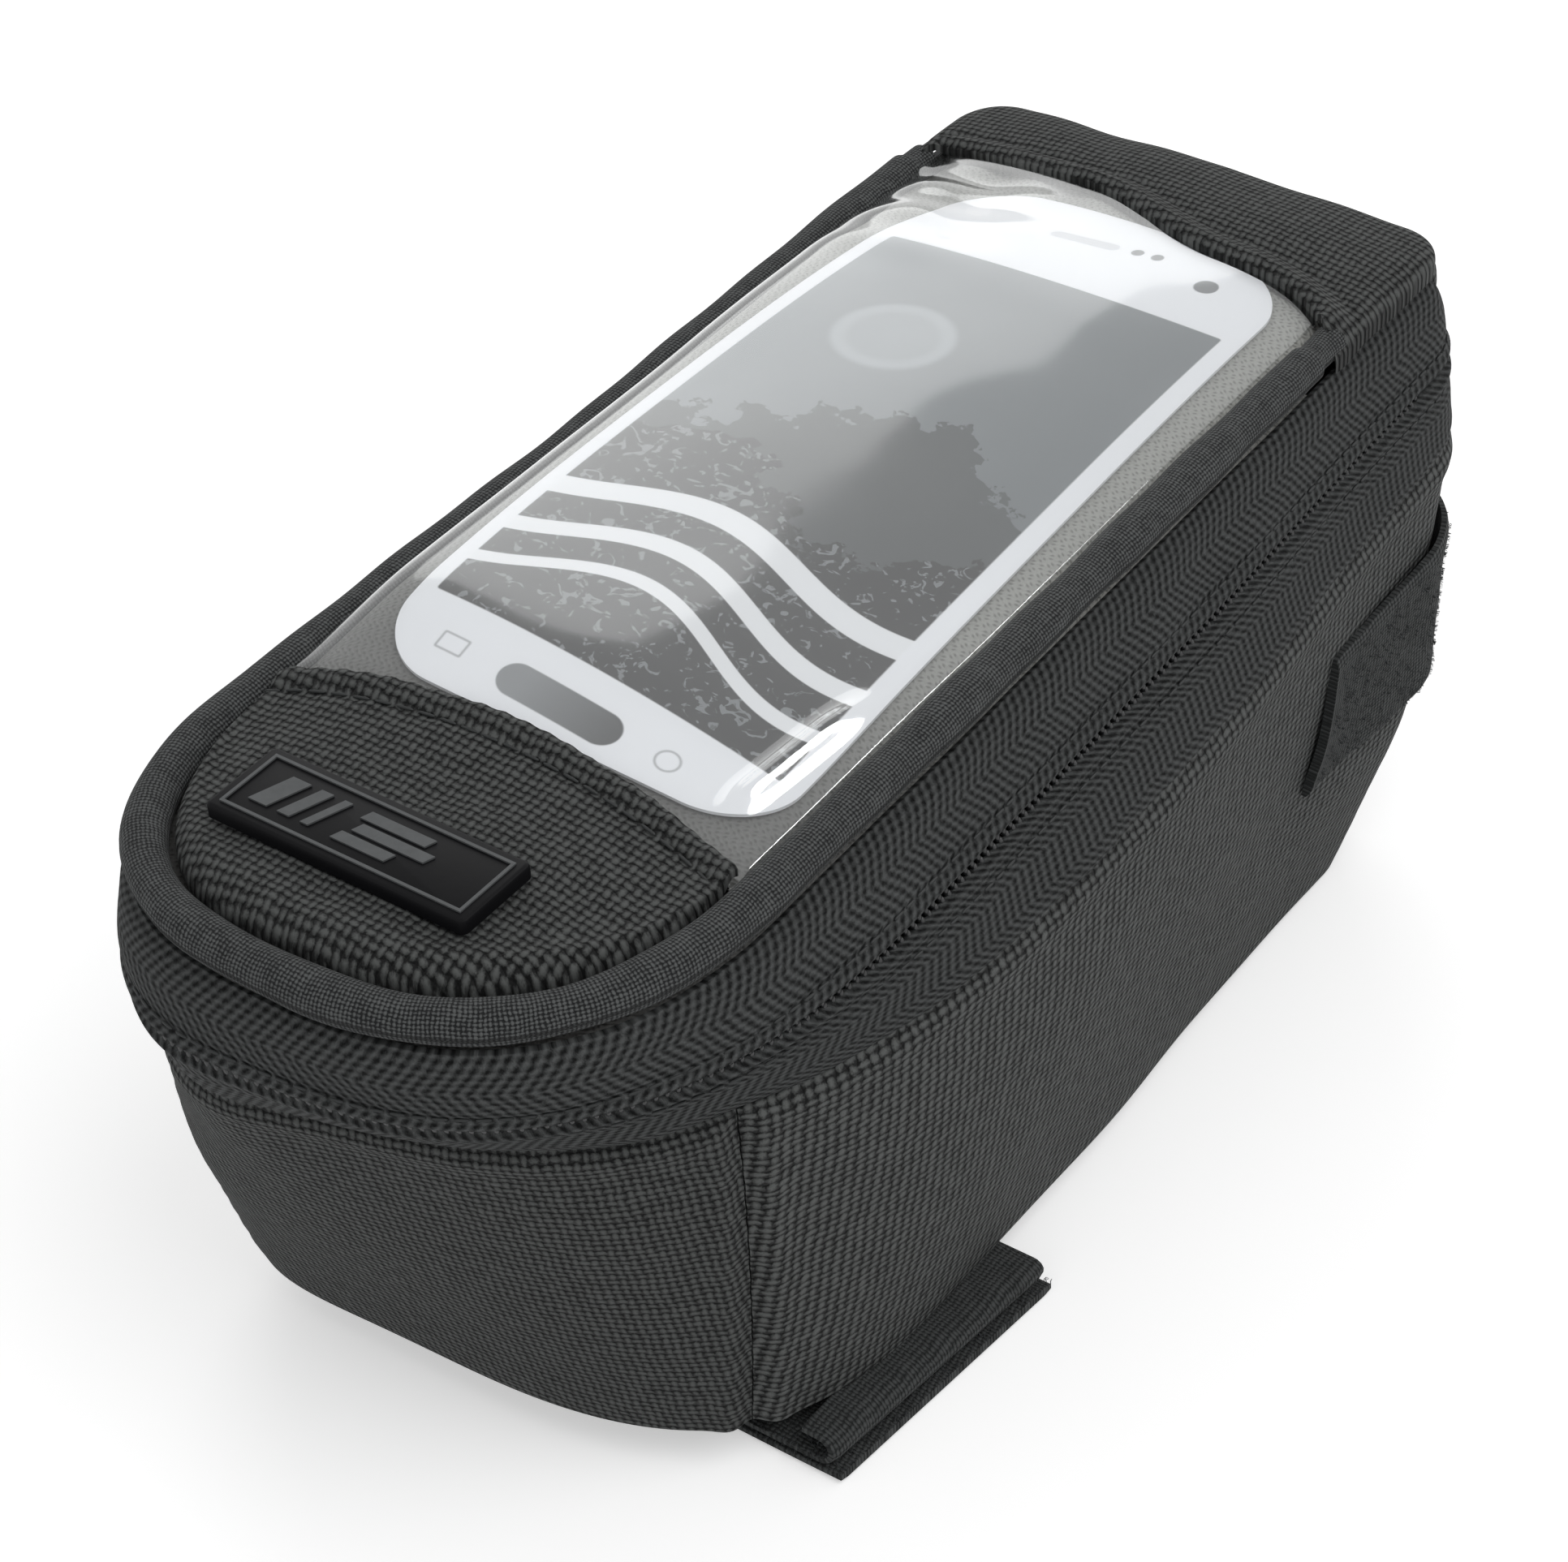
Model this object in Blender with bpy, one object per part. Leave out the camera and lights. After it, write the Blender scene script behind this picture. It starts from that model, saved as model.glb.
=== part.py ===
"""Top tube phone bag: a soft zipped bag with a clear phone window in its lid.

The bag lies along Y with its rounded near end at -Y and its square far end at +Y.
Z is up, the floor is z = 0, and every length is in metres.
"""

import math

import bmesh
import bpy
import numpy as np
from mathutils import Matrix, Vector

# Overall size
BAG_LENGTH = 0.199
RIM_HEIGHT = 0.088
NEAR_LIFT = 0.008
CLEAR = 0.0003

# Plan outline at the lid's rim
RIM_HALF_WIDTH = 0.038
RIM_TIP_INSET = 0.002
RIM_NOSE = 0.038
RIM_TAPER = 0.013
RIM_FAR_INSET = 0.0025
RIM_CORNER = 0.007

# Plan outline at the zip line
ZIP_DROP = 0.0108
ZIP_HALF_WIDTH = 0.0433
ZIP_TIP_INSET = 0.0006
ZIP_NOSE = 0.060
ZIP_TAPER = 0.015
ZIP_FAR_INSET = 0.001
ZIP_CORNER = 0.014

# Plan outline at the seam between the lower zip tape and the walls
SEAM_DROP = 0.0200
SEAM_HALF_WIDTH = 0.0488
SEAM_TIP_INSET = 0.0065
SEAM_NOSE = 0.100
SEAM_TAPER = 0.050
SEAM_CORNER = 0.018

# Plan outline at the bottom edge
BOTTOM_HALF_WIDTH = 0.0395
BOTTOM_TIP_INSET = 0.027
BOTTOM_NOSE = 0.038
BOTTOM_TAPER = 0.040
BOTTOM_CORNER = 0.014
BOTTOM_FAR_INSET = 0.015
WALL_BULGE = 0.0015

# Roundness of the near end on each side, and how far it leans: along Y per metre of X, and sideways
RIM_POWERS = (2.8, 2.4)
ZIP_POWERS = (3.0, 2.6)
SEAM_POWERS = (3.0, 3.2)
BOTTOM_POWERS = (5.0, 3.0)
ZIP_LEAN = 0.10
SEAM_LEAN = 0.28
BOTTOM_LEAN = 0.075
BOTTOM_SHIFT = -0.0028
LEAN_REACH = 0.0995

# Inner layers: their ends as shares of the wall's height, and the room left round them
FOAM_TOP = 0.05
FOAM_BOTTOM = 0.10
FOAM_SEAM_GAP = 0.00075
FOAM_CLEAR = 0.0005
LINING_CLEAR = 0.0008
LINING_TOP = 0.03
LINING_BEND = 0.12
LINING_FLOOR = 0.05

NEAR_SEAM = 0.172
FAR_SEAM = 0.850

# Sheet thicknesses
FABRIC = 0.0010
TAPE = 0.0008
FOAM = 0.0025
LINING = 0.0008
BOARD = 0.0015
FILM = 0.0006
CARD = 0.0005
STRAP = 0.0012

# Zip
SLIT = 0.0010
COIL_WIDTH = 0.0024
COIL_HEIGHT = 0.0018
COIL_MARGIN = 0.0014
COIL_SETBACK = 0.0012
SLIDER_LENGTH = 0.0120
SLIDER_WIDTH = 0.0092
SLIDER_PLATE = 0.0011
SLIDER_FROM_FAR = 0.0245
SLIDER_PARK_MARGIN = 0.0020
SLIDER_BLADE = 0.0004
SLIDER_CLEAR = 0.0008
PULL_LENGTH = 0.020
PULL_WIDTH = 0.0055
PULL_THICKNESS = 0.0014
PULL_BAR = 0.0009
PULL_ARCH = 0.0044
ARCH_WIDTH = 0.0024
ARCH_THICKNESS = 0.0009
ARCH_LEG = 0.0012
ARCH_REACH = 0.0046
BLADE_LENGTH = 0.003

# Lid
PIPING_RADIUS = 0.0025
COVER_EDGE = 0.0040
COVER_CROWN = 0.0030
COVER_POWER = 2.6
WINDOW_CROWN = 0.0064
WINDOW_CREST = -0.018
WINDOW_POWERS = (5.0, 1.8)
WINDOW_RISE = 0.030
WINDOW_RISE_START = 0.012
WINDOW_FROM_TIP = 0.046
WINDOW_NEAR_SWEEP = 0.006
WINDOW_FROM_FAR = 0.022
WINDOW_FAR_SWEEP = 0.013
CARD_SIDE_GAP = 0.0036
CARD_NEAR_GAP = 0.0020
CARD_FAR_GAP = 0.0050
CARD_CORNER = 0.009
CARD_DROP = 0.0004
BACKING_FROM_FAR = 0.039
BACKING = 0.0010

BADGE_WIDTH = 0.0365
BADGE_DEPTH = 0.0118
BADGE_THICKNESS = 0.0018
BADGE_FROM_TIP = 0.0225
BADGE_BORDER = 0.0007
BADGE_RECESS = 0.0004

# Straps
NEAR_STRAP_WIDTH = 0.038
NEAR_STRAP_FROM_TIP = 0.064
NEAR_STRAP_OUT = 0.0445
NEAR_STRAP_TUCK = 0.0365
NEAR_STRAP_LEFT_END = 0.0435
NEAR_STRAP_RIGHT_END = -0.025
FAR_STRAP_WIDTH = 0.022
FAR_STRAP_HEIGHT = 0.043
FAR_STRAP_SLIT_FROM_FAR = 0.048
FAR_STRAP_OVERLAP = 0.015

# Places along the bag that follow from its length
TIP_Y = -BAG_LENGTH / 2
FAR_Y = BAG_LENGTH / 2
WINDOW_NEAR = TIP_Y + WINDOW_FROM_TIP
WINDOW_FAR = FAR_Y - WINDOW_FROM_FAR
PIPING_END = WINDOW_FAR - WINDOW_FAR_SWEEP - CLEAR
BACKING_END = FAR_Y - BACKING_FROM_FAR
BADGE_CENTRE = TIP_Y + BADGE_FROM_TIP
SLIDER_REST = FAR_Y - SLIDER_FROM_FAR
NEAR_STRAP_CENTRE = TIP_Y + NEAR_STRAP_FROM_TIP
FAR_STRAP_START = FAR_Y - FAR_STRAP_SLIT_FROM_FAR


class Level:
    """One plan outline: a blunt round nose that may lean, slightly tapered sides and a square far end."""

    def __init__(self, drop, half_width, tip, nose, taper, far, corner, powers, lean=0.0, shift=0.0):
        self.values = np.array([drop, half_width, tip, nose, taper, far, corner, *powers, lean, shift])

    def mixed(self, other, share):
        values = self.values + (other.values - self.values) * share
        return Level(*values[:7], values[7:9], *values[9:])

    def inset(self, distance):
        drop, width, tip, nose, taper, far, corner = self.values[:7]
        return Level(drop, width - distance, tip + distance, nose, taper, far - distance,
                     max(corner - distance, 0.001), self.values[7:9], *self.values[9:])


RIM = Level(0.0, RIM_HALF_WIDTH, TIP_Y + RIM_TIP_INSET, RIM_NOSE, RIM_TAPER, FAR_Y - RIM_FAR_INSET,
            RIM_CORNER, RIM_POWERS)
ZIP = Level(ZIP_DROP, ZIP_HALF_WIDTH, TIP_Y + ZIP_TIP_INSET, ZIP_NOSE, ZIP_TAPER, FAR_Y - ZIP_FAR_INSET, ZIP_CORNER,
            ZIP_POWERS, ZIP_LEAN)
SEAM = Level(SEAM_DROP, SEAM_HALF_WIDTH, TIP_Y + SEAM_TIP_INSET, SEAM_NOSE, SEAM_TAPER, FAR_Y, SEAM_CORNER,
             SEAM_POWERS, SEAM_LEAN)
BOTTOM = Level(RIM_HEIGHT, BOTTOM_HALF_WIDTH, TIP_Y + BOTTOM_TIP_INSET, BOTTOM_NOSE, BOTTOM_TAPER,
               FAR_Y - BOTTOM_FAR_INSET, BOTTOM_CORNER, BOTTOM_POWERS, BOTTOM_LEAN, BOTTOM_SHIFT)


def half_outline(level, side=1, steps=48):
    """One half of a plan outline from the nose tip to the far centre, with its share of the length."""
    _, width, tip, nose, taper, far, corner, left_power, right_power = level.values[:9]
    power = left_power if side < 0 else right_power
    turn = np.linspace(0, math.pi / 2, steps)
    side_end = far - corner
    side_x = width - taper * (side_end - tip - nose)
    x = np.concatenate([width * np.sin(turn) ** (2 / power),
                        [side_x],
                        side_x - corner + corner * np.cos(turn[1:]),
                        [0.0]])
    y = np.concatenate([tip + nose * (1 - np.cos(turn) ** (2 / power)),
                        [side_end],
                        side_end + corner * np.sin(turn[1:]),
                        [far]])
    length = np.concatenate([[0], np.cumsum(np.hypot(np.diff(x), np.diff(y)))])
    return length / length[-1], x, y


def outline_point(level, place):
    """Point on a level's full outline: place runs from -1 at the far centre past 0 at the nose to 1."""
    place = (place + 1) % 2 - 1 if abs(place) > 1 else place
    side = -1 if place < 0 else 1
    share, xs, ys = half_outline(level, side)
    x = side * float(np.interp(abs(place), share, xs))
    y = float(np.interp(abs(place), share, ys))
    lean, shift = level.values[9:]
    nearness = min(max((TIP_Y + LEAN_REACH - y) / LEAN_REACH, 0), 1)
    nearness = nearness * nearness * (3 - 2 * nearness)
    return x + shift * nearness, y + lean * x * nearness


def bottom_height(y):
    """Height of the bottom above the floor: lifted by the strap at the near end, down at the far end."""
    near = TIP_Y + BOTTOM_TIP_INSET
    far = FAR_Y - BOTTOM_FAR_INSET
    return NEAR_LIFT * (far - y) / (far - near)


def body_surface(place, row):
    """Outer skin of the bag: row 0 to 1 is the upper zip band, 1 to 2 the lower, 2 to 3 the walls."""
    if row <= 1:
        level = RIM.mixed(ZIP, row)
    elif row <= 2:
        level = ZIP.mixed(SEAM, row - 1)
    else:
        level = SEAM.mixed(BOTTOM, row - 2)
    x, y = outline_point(level, place)
    if row <= 2:
        return Vector((x, y, RIM_HEIGHT - level.values[0]))
    down = row - 2
    seam_height = RIM_HEIGHT - SEAM_DROP
    swell = 1 + 4 * down * (1 - down) * WALL_BULGE / BOTTOM_HALF_WIDTH
    return Vector((x * swell, y, seam_height + (bottom_height(y) - seam_height) * down))


def skin_normal(surface, u, v, flip, step=1e-3):
    """Unit normal of a surface by differences, pointing out of the bag."""
    along = surface(u + step, v) - surface(u - step, v)
    low, high = v - step, v + step
    if abs(v - round(v)) < 2 * step:
        low, high = (v, v + step) if surface is not body_surface or v < 0.5 else (v - step, v)
    down = surface(u, high) - surface(u, low)
    normal = down.cross(along) if flip else along.cross(down)
    return normal.normalized()


def mesh_object(name, verts, faces, colour, roughness, metallic=0.0, smooth_angle=40):
    """Object with a closed mesh, outward faces and a material of its own."""
    mesh = bpy.data.meshes.new(name)
    mesh.from_pydata([tuple(v) for v in verts], [], faces)
    shape = bmesh.new()
    shape.from_mesh(mesh)
    bmesh.ops.recalc_face_normals(shape, faces=shape.faces)
    shape.to_mesh(mesh)
    shape.free()
    obj = bpy.data.objects.new(name, mesh)
    bpy.context.scene.collection.objects.link(obj)
    finish_object(obj, colour, roughness, metallic, smooth_angle)
    return obj


def finish_object(obj, colour, roughness, metallic=0.0, smooth_angle=40):
    """Gives an object its own material and smooth shading with sharp edges kept."""
    material = bpy.data.materials.new(obj.name)
    material.use_nodes = True
    shader = material.node_tree.nodes["Principled BSDF"]
    shader.inputs["Base Color"].default_value = (*colour, 1.0)
    shader.inputs["Roughness"].default_value = roughness
    shader.inputs["Metallic"].default_value = metallic
    obj.data.materials.clear()
    obj.data.materials.append(material)
    obj.data.shade_smooth()
    obj.data.set_sharp_from_angle(angle=math.radians(smooth_angle))


def sheet(name, outer, inner, colour, roughness):
    """Closed sheet between two grids of points with the same rows and columns."""
    rows, columns = len(outer), len(outer[0])
    verts = [p for grid in (outer, inner) for row in grid for p in row]
    half = rows * columns

    def at(layer, i, j):
        return layer * half + i * columns + j

    faces = []
    for i in range(rows - 1):
        for j in range(columns - 1):
            faces.append((at(0, i, j), at(0, i, j + 1), at(0, i + 1, j + 1), at(0, i + 1, j)))
            faces.append((at(1, i, j), at(1, i + 1, j), at(1, i + 1, j + 1), at(1, i, j + 1)))
    for i in range(rows - 1):
        for j in (0, columns - 1):
            faces.append((at(0, i, j), at(0, i + 1, j), at(1, i + 1, j), at(1, i, j)))
    for j in range(columns - 1):
        for i in (0, rows - 1):
            faces.append((at(0, i, j), at(0, i, j + 1), at(1, i, j + 1), at(1, i, j)))
    return mesh_object(name, verts, faces, colour, roughness)


def skin_sheet(name, places, rows, outer_depth, thickness, colour, roughness):
    """Sheet that follows the body's skin, its outer face a given depth below it."""
    grids = [[], []]
    for row in rows:
        lines = [[], []]
        for place in places:
            point = body_surface(place, row)
            normal = skin_normal(body_surface, place, row, flip=True)
            lines[0].append(point - normal * outer_depth)
            lines[1].append(point - normal * (outer_depth + thickness))
        grids[0].append(lines[0])
        grids[1].append(lines[1])
    return sheet(name, grids[0], grids[1], colour, roughness)


def spaced(start, end, count):
    return [start + (end - start) * i / (count - 1) for i in range(count)]


def outline_length(level, side=1):
    _, x, y = half_outline(level, side)
    return float(np.sum(np.hypot(np.diff(x), np.diff(y))))


def seam_gap():
    """Share of the outline that half of the clearance takes."""
    return CLEAR / 2 / outline_length(SEAM)


# Columns round half the bag, close together where the outline turns. Every layer uses them, so layers nest.
HALF_COLUMNS = (spaced(0.0, 0.18, 8) + spaced(0.215, 0.32, 4) + spaced(0.40, 0.72, 5) + spaced(0.75, 0.95, 11))
ALL_COLUMNS = sorted({side * place + turn for place in HALF_COLUMNS for side in (-1, 1) for turn in (0, 2)})


def columns_between(start, end, margin=0.004):
    """The common columns between two places, with the places themselves at the ends."""
    return [start] + [place for place in ALL_COLUMNS if start + margin < place < end - margin] + [end]


DARK_FABRIC = (0.030, 0.030, 0.032)
TAPE_GREY = (0.036, 0.036, 0.038)
LINING_GREY = (0.42, 0.42, 0.40)


def build_walls():
    """Outer fabric panels, foam sheets behind them and the sewn lining."""
    gap = seam_gap()
    wall_rows = spaced(2.0, 3.0, 7)
    rows = [2.0 + CLEAR / 2 / (RIM_HEIGHT - SEAM_DROP)] + wall_rows[1:]
    panels = {
        "near_wall_panel": columns_between(-NEAR_SEAM + gap, NEAR_SEAM - gap),
        "right_side_panel": columns_between(NEAR_SEAM + gap, FAR_SEAM - gap),
        "left_side_panel": columns_between(-FAR_SEAM + gap, -NEAR_SEAM - gap),
    }
    for name, places in panels.items():
        skin_sheet(name, places, rows, 0.0, FABRIC, DARK_FABRIC, 0.82)
    far_places = columns_between(FAR_SEAM + gap, 2 - FAR_SEAM - gap)
    skin_sheet("far_wall_panel", far_places, [CLEAR / ZIP_DROP, 1.0] + wall_rows, 0.0, FABRIC, DARK_FABRIC, 0.82)

    foam_rows = [2 + FOAM_TOP] + wall_rows[1:-1] + [3 - FOAM_BOTTOM]
    foam_depth = FABRIC + FOAM_CLEAR
    foam_gap = 2 * FOAM_SEAM_GAP / CLEAR * gap
    foams = {
        "near_wall_foam": columns_between(-NEAR_SEAM + foam_gap, NEAR_SEAM - foam_gap),
        "right_side_foam": columns_between(NEAR_SEAM + foam_gap, FAR_SEAM - foam_gap),
        "left_side_foam": columns_between(-FAR_SEAM + foam_gap, -NEAR_SEAM - foam_gap),
        "far_wall_foam": columns_between(FAR_SEAM + foam_gap, 2 - FAR_SEAM - foam_gap),
    }
    for name, places in foams.items():
        skin_sheet(name, places, foam_rows, foam_depth, FOAM, (0.05, 0.05, 0.055), 0.95)


RING = [place for place in ALL_COLUMNS if -1 < place < 1 and place != 0]


def ring_at(row, depth, height=None):
    """Closed ring of points below the skin, from the far end round the nose and back."""
    ring = []
    for place in RING:
        point = body_surface(place, row)
        point = point - skin_normal(body_surface, place, row, flip=True) * depth
        if height is not None:
            point.z = height + bottom_height(point.y)
        ring.append(point)
    return ring


def floor_faces(start, columns):
    """Faces across a ring whose points mirror left to right."""
    faces = []
    for i in range(columns // 2 - 1):
        faces.append((start + i, start + i + 1, start + columns - 2 - i, start + columns - 1 - i))
    return faces


def build_lining():
    """Inner lining: an open bowl of one sewn cloth inside the foam."""
    columns = len(RING)
    depth = FABRIC + FOAM_CLEAR + FOAM + LINING_CLEAR
    floor = FABRIC + BOARD + 3 * CLEAR
    rows = spaced(2 + LINING_TOP, 3 - LINING_BEND, 5)
    outer = [ring_at(row, depth) for row in rows]
    outer.append(ring_at(3 - LINING_FLOOR, depth + CLEAR, floor))
    inner = [ring_at(row, depth + LINING) for row in rows]
    inner.append(ring_at(3 - LINING_FLOOR, depth + CLEAR + LINING, floor + LINING))
    verts = [p for ring in outer + inner for p in ring]
    count = len(outer)
    faces = []
    for base in (0, count):
        for i in range(count - 1):
            for j in range(columns):
                k = (j + 1) % columns
                low, high = (base + i) * columns, (base + i + 1) * columns
                faces.append((low + j, low + k, high + k, high + j))
        faces += floor_faces((base + count - 1) * columns, columns)
    for j in range(columns):
        k = (j + 1) % columns
        faces.append((j, k, count * columns + k, count * columns + j))
    mesh_object("body_lining", verts, faces, LINING_GREY, 0.9)


def plate_across(name, row, depth, low, thickness, colour, roughness):
    """Flat sheet that fills the plan outline inside the walls and follows the sloping bottom."""
    columns = len(RING)
    lower = ring_at(row, depth, low)
    upper = ring_at(row, depth, low + thickness)
    verts = lower + upper
    faces = floor_faces(0, columns) + floor_faces(columns, columns)
    for j in range(columns):
        k = (j + 1) % columns
        faces.append((j, k, columns + k, columns + j))
    return mesh_object(name, verts, faces, colour, roughness)


def build_bottom():
    """Bottom fabric and the stiff board that lies on it."""
    plate_across("bottom_panel", 3.0, FABRIC + 3 * CLEAR, 0.0, FABRIC, DARK_FABRIC, 0.85)
    plate_across("base_board", 3.0, FABRIC + 4 * CLEAR, FABRIC + CLEAR, BOARD, (0.16, 0.16, 0.17), 0.7)


def place_at_y(level, y, side=1):
    """Place on the outline at which one side reaches a given y."""
    share, _, ys = half_outline(level, side)
    return side * float(np.interp(y, ys, share))


def zip_frame(place):
    """Point on the zip line with the directions along it, up its face and out of the bag."""
    point = body_surface(place, 1.0)
    along = (body_surface(place + 1e-3, 1.0) - body_surface(place - 1e-3, 1.0)).normalized()
    up = body_surface(place, 0.7) - body_surface(place, 1.3)
    up = (up - along * up.dot(along)).normalized()
    return point, along, up, along.cross(up)


UPPER_BAND = math.hypot(ZIP_DROP, ZIP_HALF_WIDTH - RIM_HALF_WIDTH)
LOWER_BAND = math.hypot(SEAM_DROP - ZIP_DROP, SEAM_HALF_WIDTH - ZIP_HALF_WIDTH)
COIL_REACH = SLIT / 2 + COIL_WIDTH
UPPER_EDGE_ROW = 1 - SLIT / 2 / UPPER_BAND
LOWER_EDGE_ROW = 1 + SLIT / 2 / LOWER_BAND
UPPER_COIL_ROW = 1 - (COIL_REACH + COIL_MARGIN) / UPPER_BAND
LOWER_COIL_ROW = 1 + (COIL_REACH + COIL_MARGIN) / LOWER_BAND


def coil_depth(place):
    """Depth of the coils' outer face, just behind the inner faces of both tapes."""
    point, _, _, out = zip_frame(place)
    depths = []
    for row in (UPPER_COIL_ROW, UPPER_EDGE_ROW, LOWER_EDGE_ROW, LOWER_COIL_ROW):
        normal = skin_normal(body_surface, place, row, flip=True)
        behind = body_surface(place, row) - normal * (TAPE + CLEAR)
        depths.append((point - behind).dot(out))
    return max(depths)


def build_coil(name, places, side):
    """One coil as a closed strip: side 1 is sewn to the upper tape and -1 to the lower."""
    near, far = side * SLIT / 2, side * COIL_REACH
    outer, inner = [], []
    for reach in (near, far):
        top_line, low_line = [], []
        for place in places:
            point, _, up, out = zip_frame(place)
            depth = coil_depth(place)
            top_line.append(point + up * reach - out * depth)
            low_line.append(point + up * reach - out * (depth + COIL_HEIGHT))
        outer.append(top_line)
        inner.append(low_line)
    sheet(name, outer, inner, (0.02, 0.02, 0.022), 0.35)


def build_zip():
    """Two woven tapes, the two coils sewn behind their edges, and the fabric end stop on the left."""
    upper_rows = [0.0, UPPER_COIL_ROW, UPPER_EDGE_ROW]
    lower_rows = [LOWER_EDGE_ROW, LOWER_COIL_ROW, 2 - (TAPE + CLEAR) / LOWER_BAND]
    end = FAR_SEAM - seam_gap()
    garage_y = SLIDER_REST - SLIDER_LENGTH / 2 - SLIDER_PARK_MARGIN
    garage, coil_start = (place_at_y(ZIP, y, -1) for y in (garage_y, garage_y - COIL_SETBACK))
    left_end, right_end = (place_at_y(ZIP, SLIDER_REST + SLIDER_LENGTH / 2, side) for side in (-1, 1))
    upper_places = columns_between(garage, end)
    lower_places = columns_between(-end, end)
    skin_sheet("upper_zip_tape", upper_places, upper_rows, 0.0, TAPE, TAPE_GREY, 0.75)
    skin_sheet("lower_zip_tape", lower_places, lower_rows, 0.0, TAPE, TAPE_GREY, 0.75)
    stop_places = columns_between(-end, garage - 2 * seam_gap())
    skin_sheet("zip_end_stop", stop_places, upper_rows, 0.0, TAPE, DARK_FABRIC, 0.8)
    build_coil("upper_zip_coil", columns_between(coil_start, right_end), 1)
    build_coil("lower_zip_coil", columns_between(left_end, right_end), -1)


def build_piping():
    """Rolled binding along the lid's edge, round the near end and both long sides."""
    level = RIM.inset(PIPING_RADIUS)
    left_end, right_end = (place_at_y(level, PIPING_END, side) for side in (-1, 1))
    places = columns_between(left_end, right_end)
    sides = 9
    height = RIM_HEIGHT + PIPING_RADIUS + CLEAR
    verts = []
    for place in places:
        before = Vector(outline_point(level, place - 1e-3))
        after = Vector(outline_point(level, place + 1e-3))
        along = (after - before).normalized()
        out = Vector((along.y, -along.x, 0))
        x, y = outline_point(level, place)
        for k in range(sides):
            turn = 2 * math.pi * k / sides + math.pi / sides
            verts.append(Vector((x, y, height)) + out * PIPING_RADIUS * math.cos(turn)
                         + Vector((0, 0, 1)) * PIPING_RADIUS * math.sin(turn))
    faces = []
    for i in range(len(places) - 1):
        for k in range(sides):
            m = (k + 1) % sides
            faces.append((i * sides + k, i * sides + m, (i + 1) * sides + m, (i + 1) * sides + k))
    faces.append(tuple(range(sides)))
    faces.append(tuple((len(places) - 1) * sides + k for k in range(sides)))
    mesh_object("lid_piping", verts, faces, (0.040, 0.040, 0.042), 0.7)


INNER = RIM.inset(2 * PIPING_RADIUS + CLEAR)


def inner_half_width(y):
    """Half the lid's width inside the piping at a given y."""
    _, x, ys = half_outline(INNER)
    turn = int(np.argmax(x))
    return float(np.interp(y, ys[:turn + 2], x[:turn + 2]))


def lid_top(x, y):
    """Height of the lid's top face: an even crown over the covers, and over the window one with its crest left."""
    width = RIM_HALF_WIDTH - 2 * PIPING_RADIUS
    cover = COVER_CROWN * (1 - min(abs(x) / width, 1) ** COVER_POWER)
    left = x < WINDOW_CREST
    away = min((x - WINDOW_CREST) / ((-width if left else width) - WINDOW_CREST), 1)
    window = WINDOW_CROWN * (1 - away ** WINDOW_POWERS[0 if left else 1])
    near = min(max((y - WINDOW_NEAR + WINDOW_RISE_START) / WINDOW_RISE, 0), 1)
    far = min(max((WINDOW_FAR - y) / WINDOW_RISE, 0), 1)
    ease = near * near * (3 - 2 * near) * far * far * (3 - 2 * far)
    return RIM_HEIGHT + COVER_EDGE + cover + (window - cover) * ease


# Columns across the window and the card, close together on the steep left side
WINDOW_COLUMNS = (spaced(-1, -0.85, 5) + spaced(-0.79, -0.55, 4) + spaced(-0.35, 1, 7))
CARD_COLUMNS = (spaced(-1, -0.74, 5) + spaced(-0.62, -0.40, 2) + spaced(-0.10, 1, 5))


def window_near_edge(x):
    return WINDOW_NEAR - WINDOW_NEAR_SWEEP * (x / RIM_HALF_WIDTH) ** 2


def window_far_edge(x):
    width = inner_half_width(PIPING_END)
    return WINDOW_FAR - WINDOW_FAR_SWEEP * min(abs(x) / width, 1) ** 3.2


def lid_sheet(name, grid, thickness, colour, roughness):
    """Sheet with the given top points, its lower face straight below."""
    down = Vector((0, 0, thickness))
    return sheet(name, grid, [[p - down for p in row] for row in grid], colour, roughness)


def build_near_cover():
    """Fabric panel over the lid's round end, from the piping to the window."""
    left_end, right_end = (place_at_y(INNER, window_near_edge(RIM_HALF_WIDTH) - COVER_EDGE, side) for side in (-1, 1))
    grid = []
    for share in spaced(0, 1, 6):
        row = []
        for place in spaced(left_end, right_end, 21):
            x, y = outline_point(INNER, place)
            edge_y = window_near_edge(x) - CLEAR
            y = y + (edge_y - y) * share
            fall = math.sqrt(max(0.0, 1 - (1 - share) ** 4))
            top = lid_top(x, y)
            base = RIM_HEIGHT + COVER_EDGE
            row.append(Vector((x, y, base + (top - base) * fall)))
        grid.append(row)
    lid_sheet("near_cover_panel", grid, FABRIC, DARK_FABRIC, 0.82)


def build_window():
    """Clear domed film over the phone pocket."""
    grid = []
    for share in spaced(0, 1, 15):
        row = []
        for across in WINDOW_COLUMNS:
            guess = WINDOW_NEAR + (WINDOW_FAR - WINDOW_NEAR) * share
            x = across * (inner_half_width(max(min(guess, PIPING_END), WINDOW_NEAR)))
            near, far = window_near_edge(x), window_far_edge(x) - CLEAR
            y = near + (far - near) * share
            row.append(Vector((x, y, lid_top(x, y))))
        grid.append(row)
    lid_sheet("window_film", grid, FILM, (0.85, 0.87, 0.88), 0.08)


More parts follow.
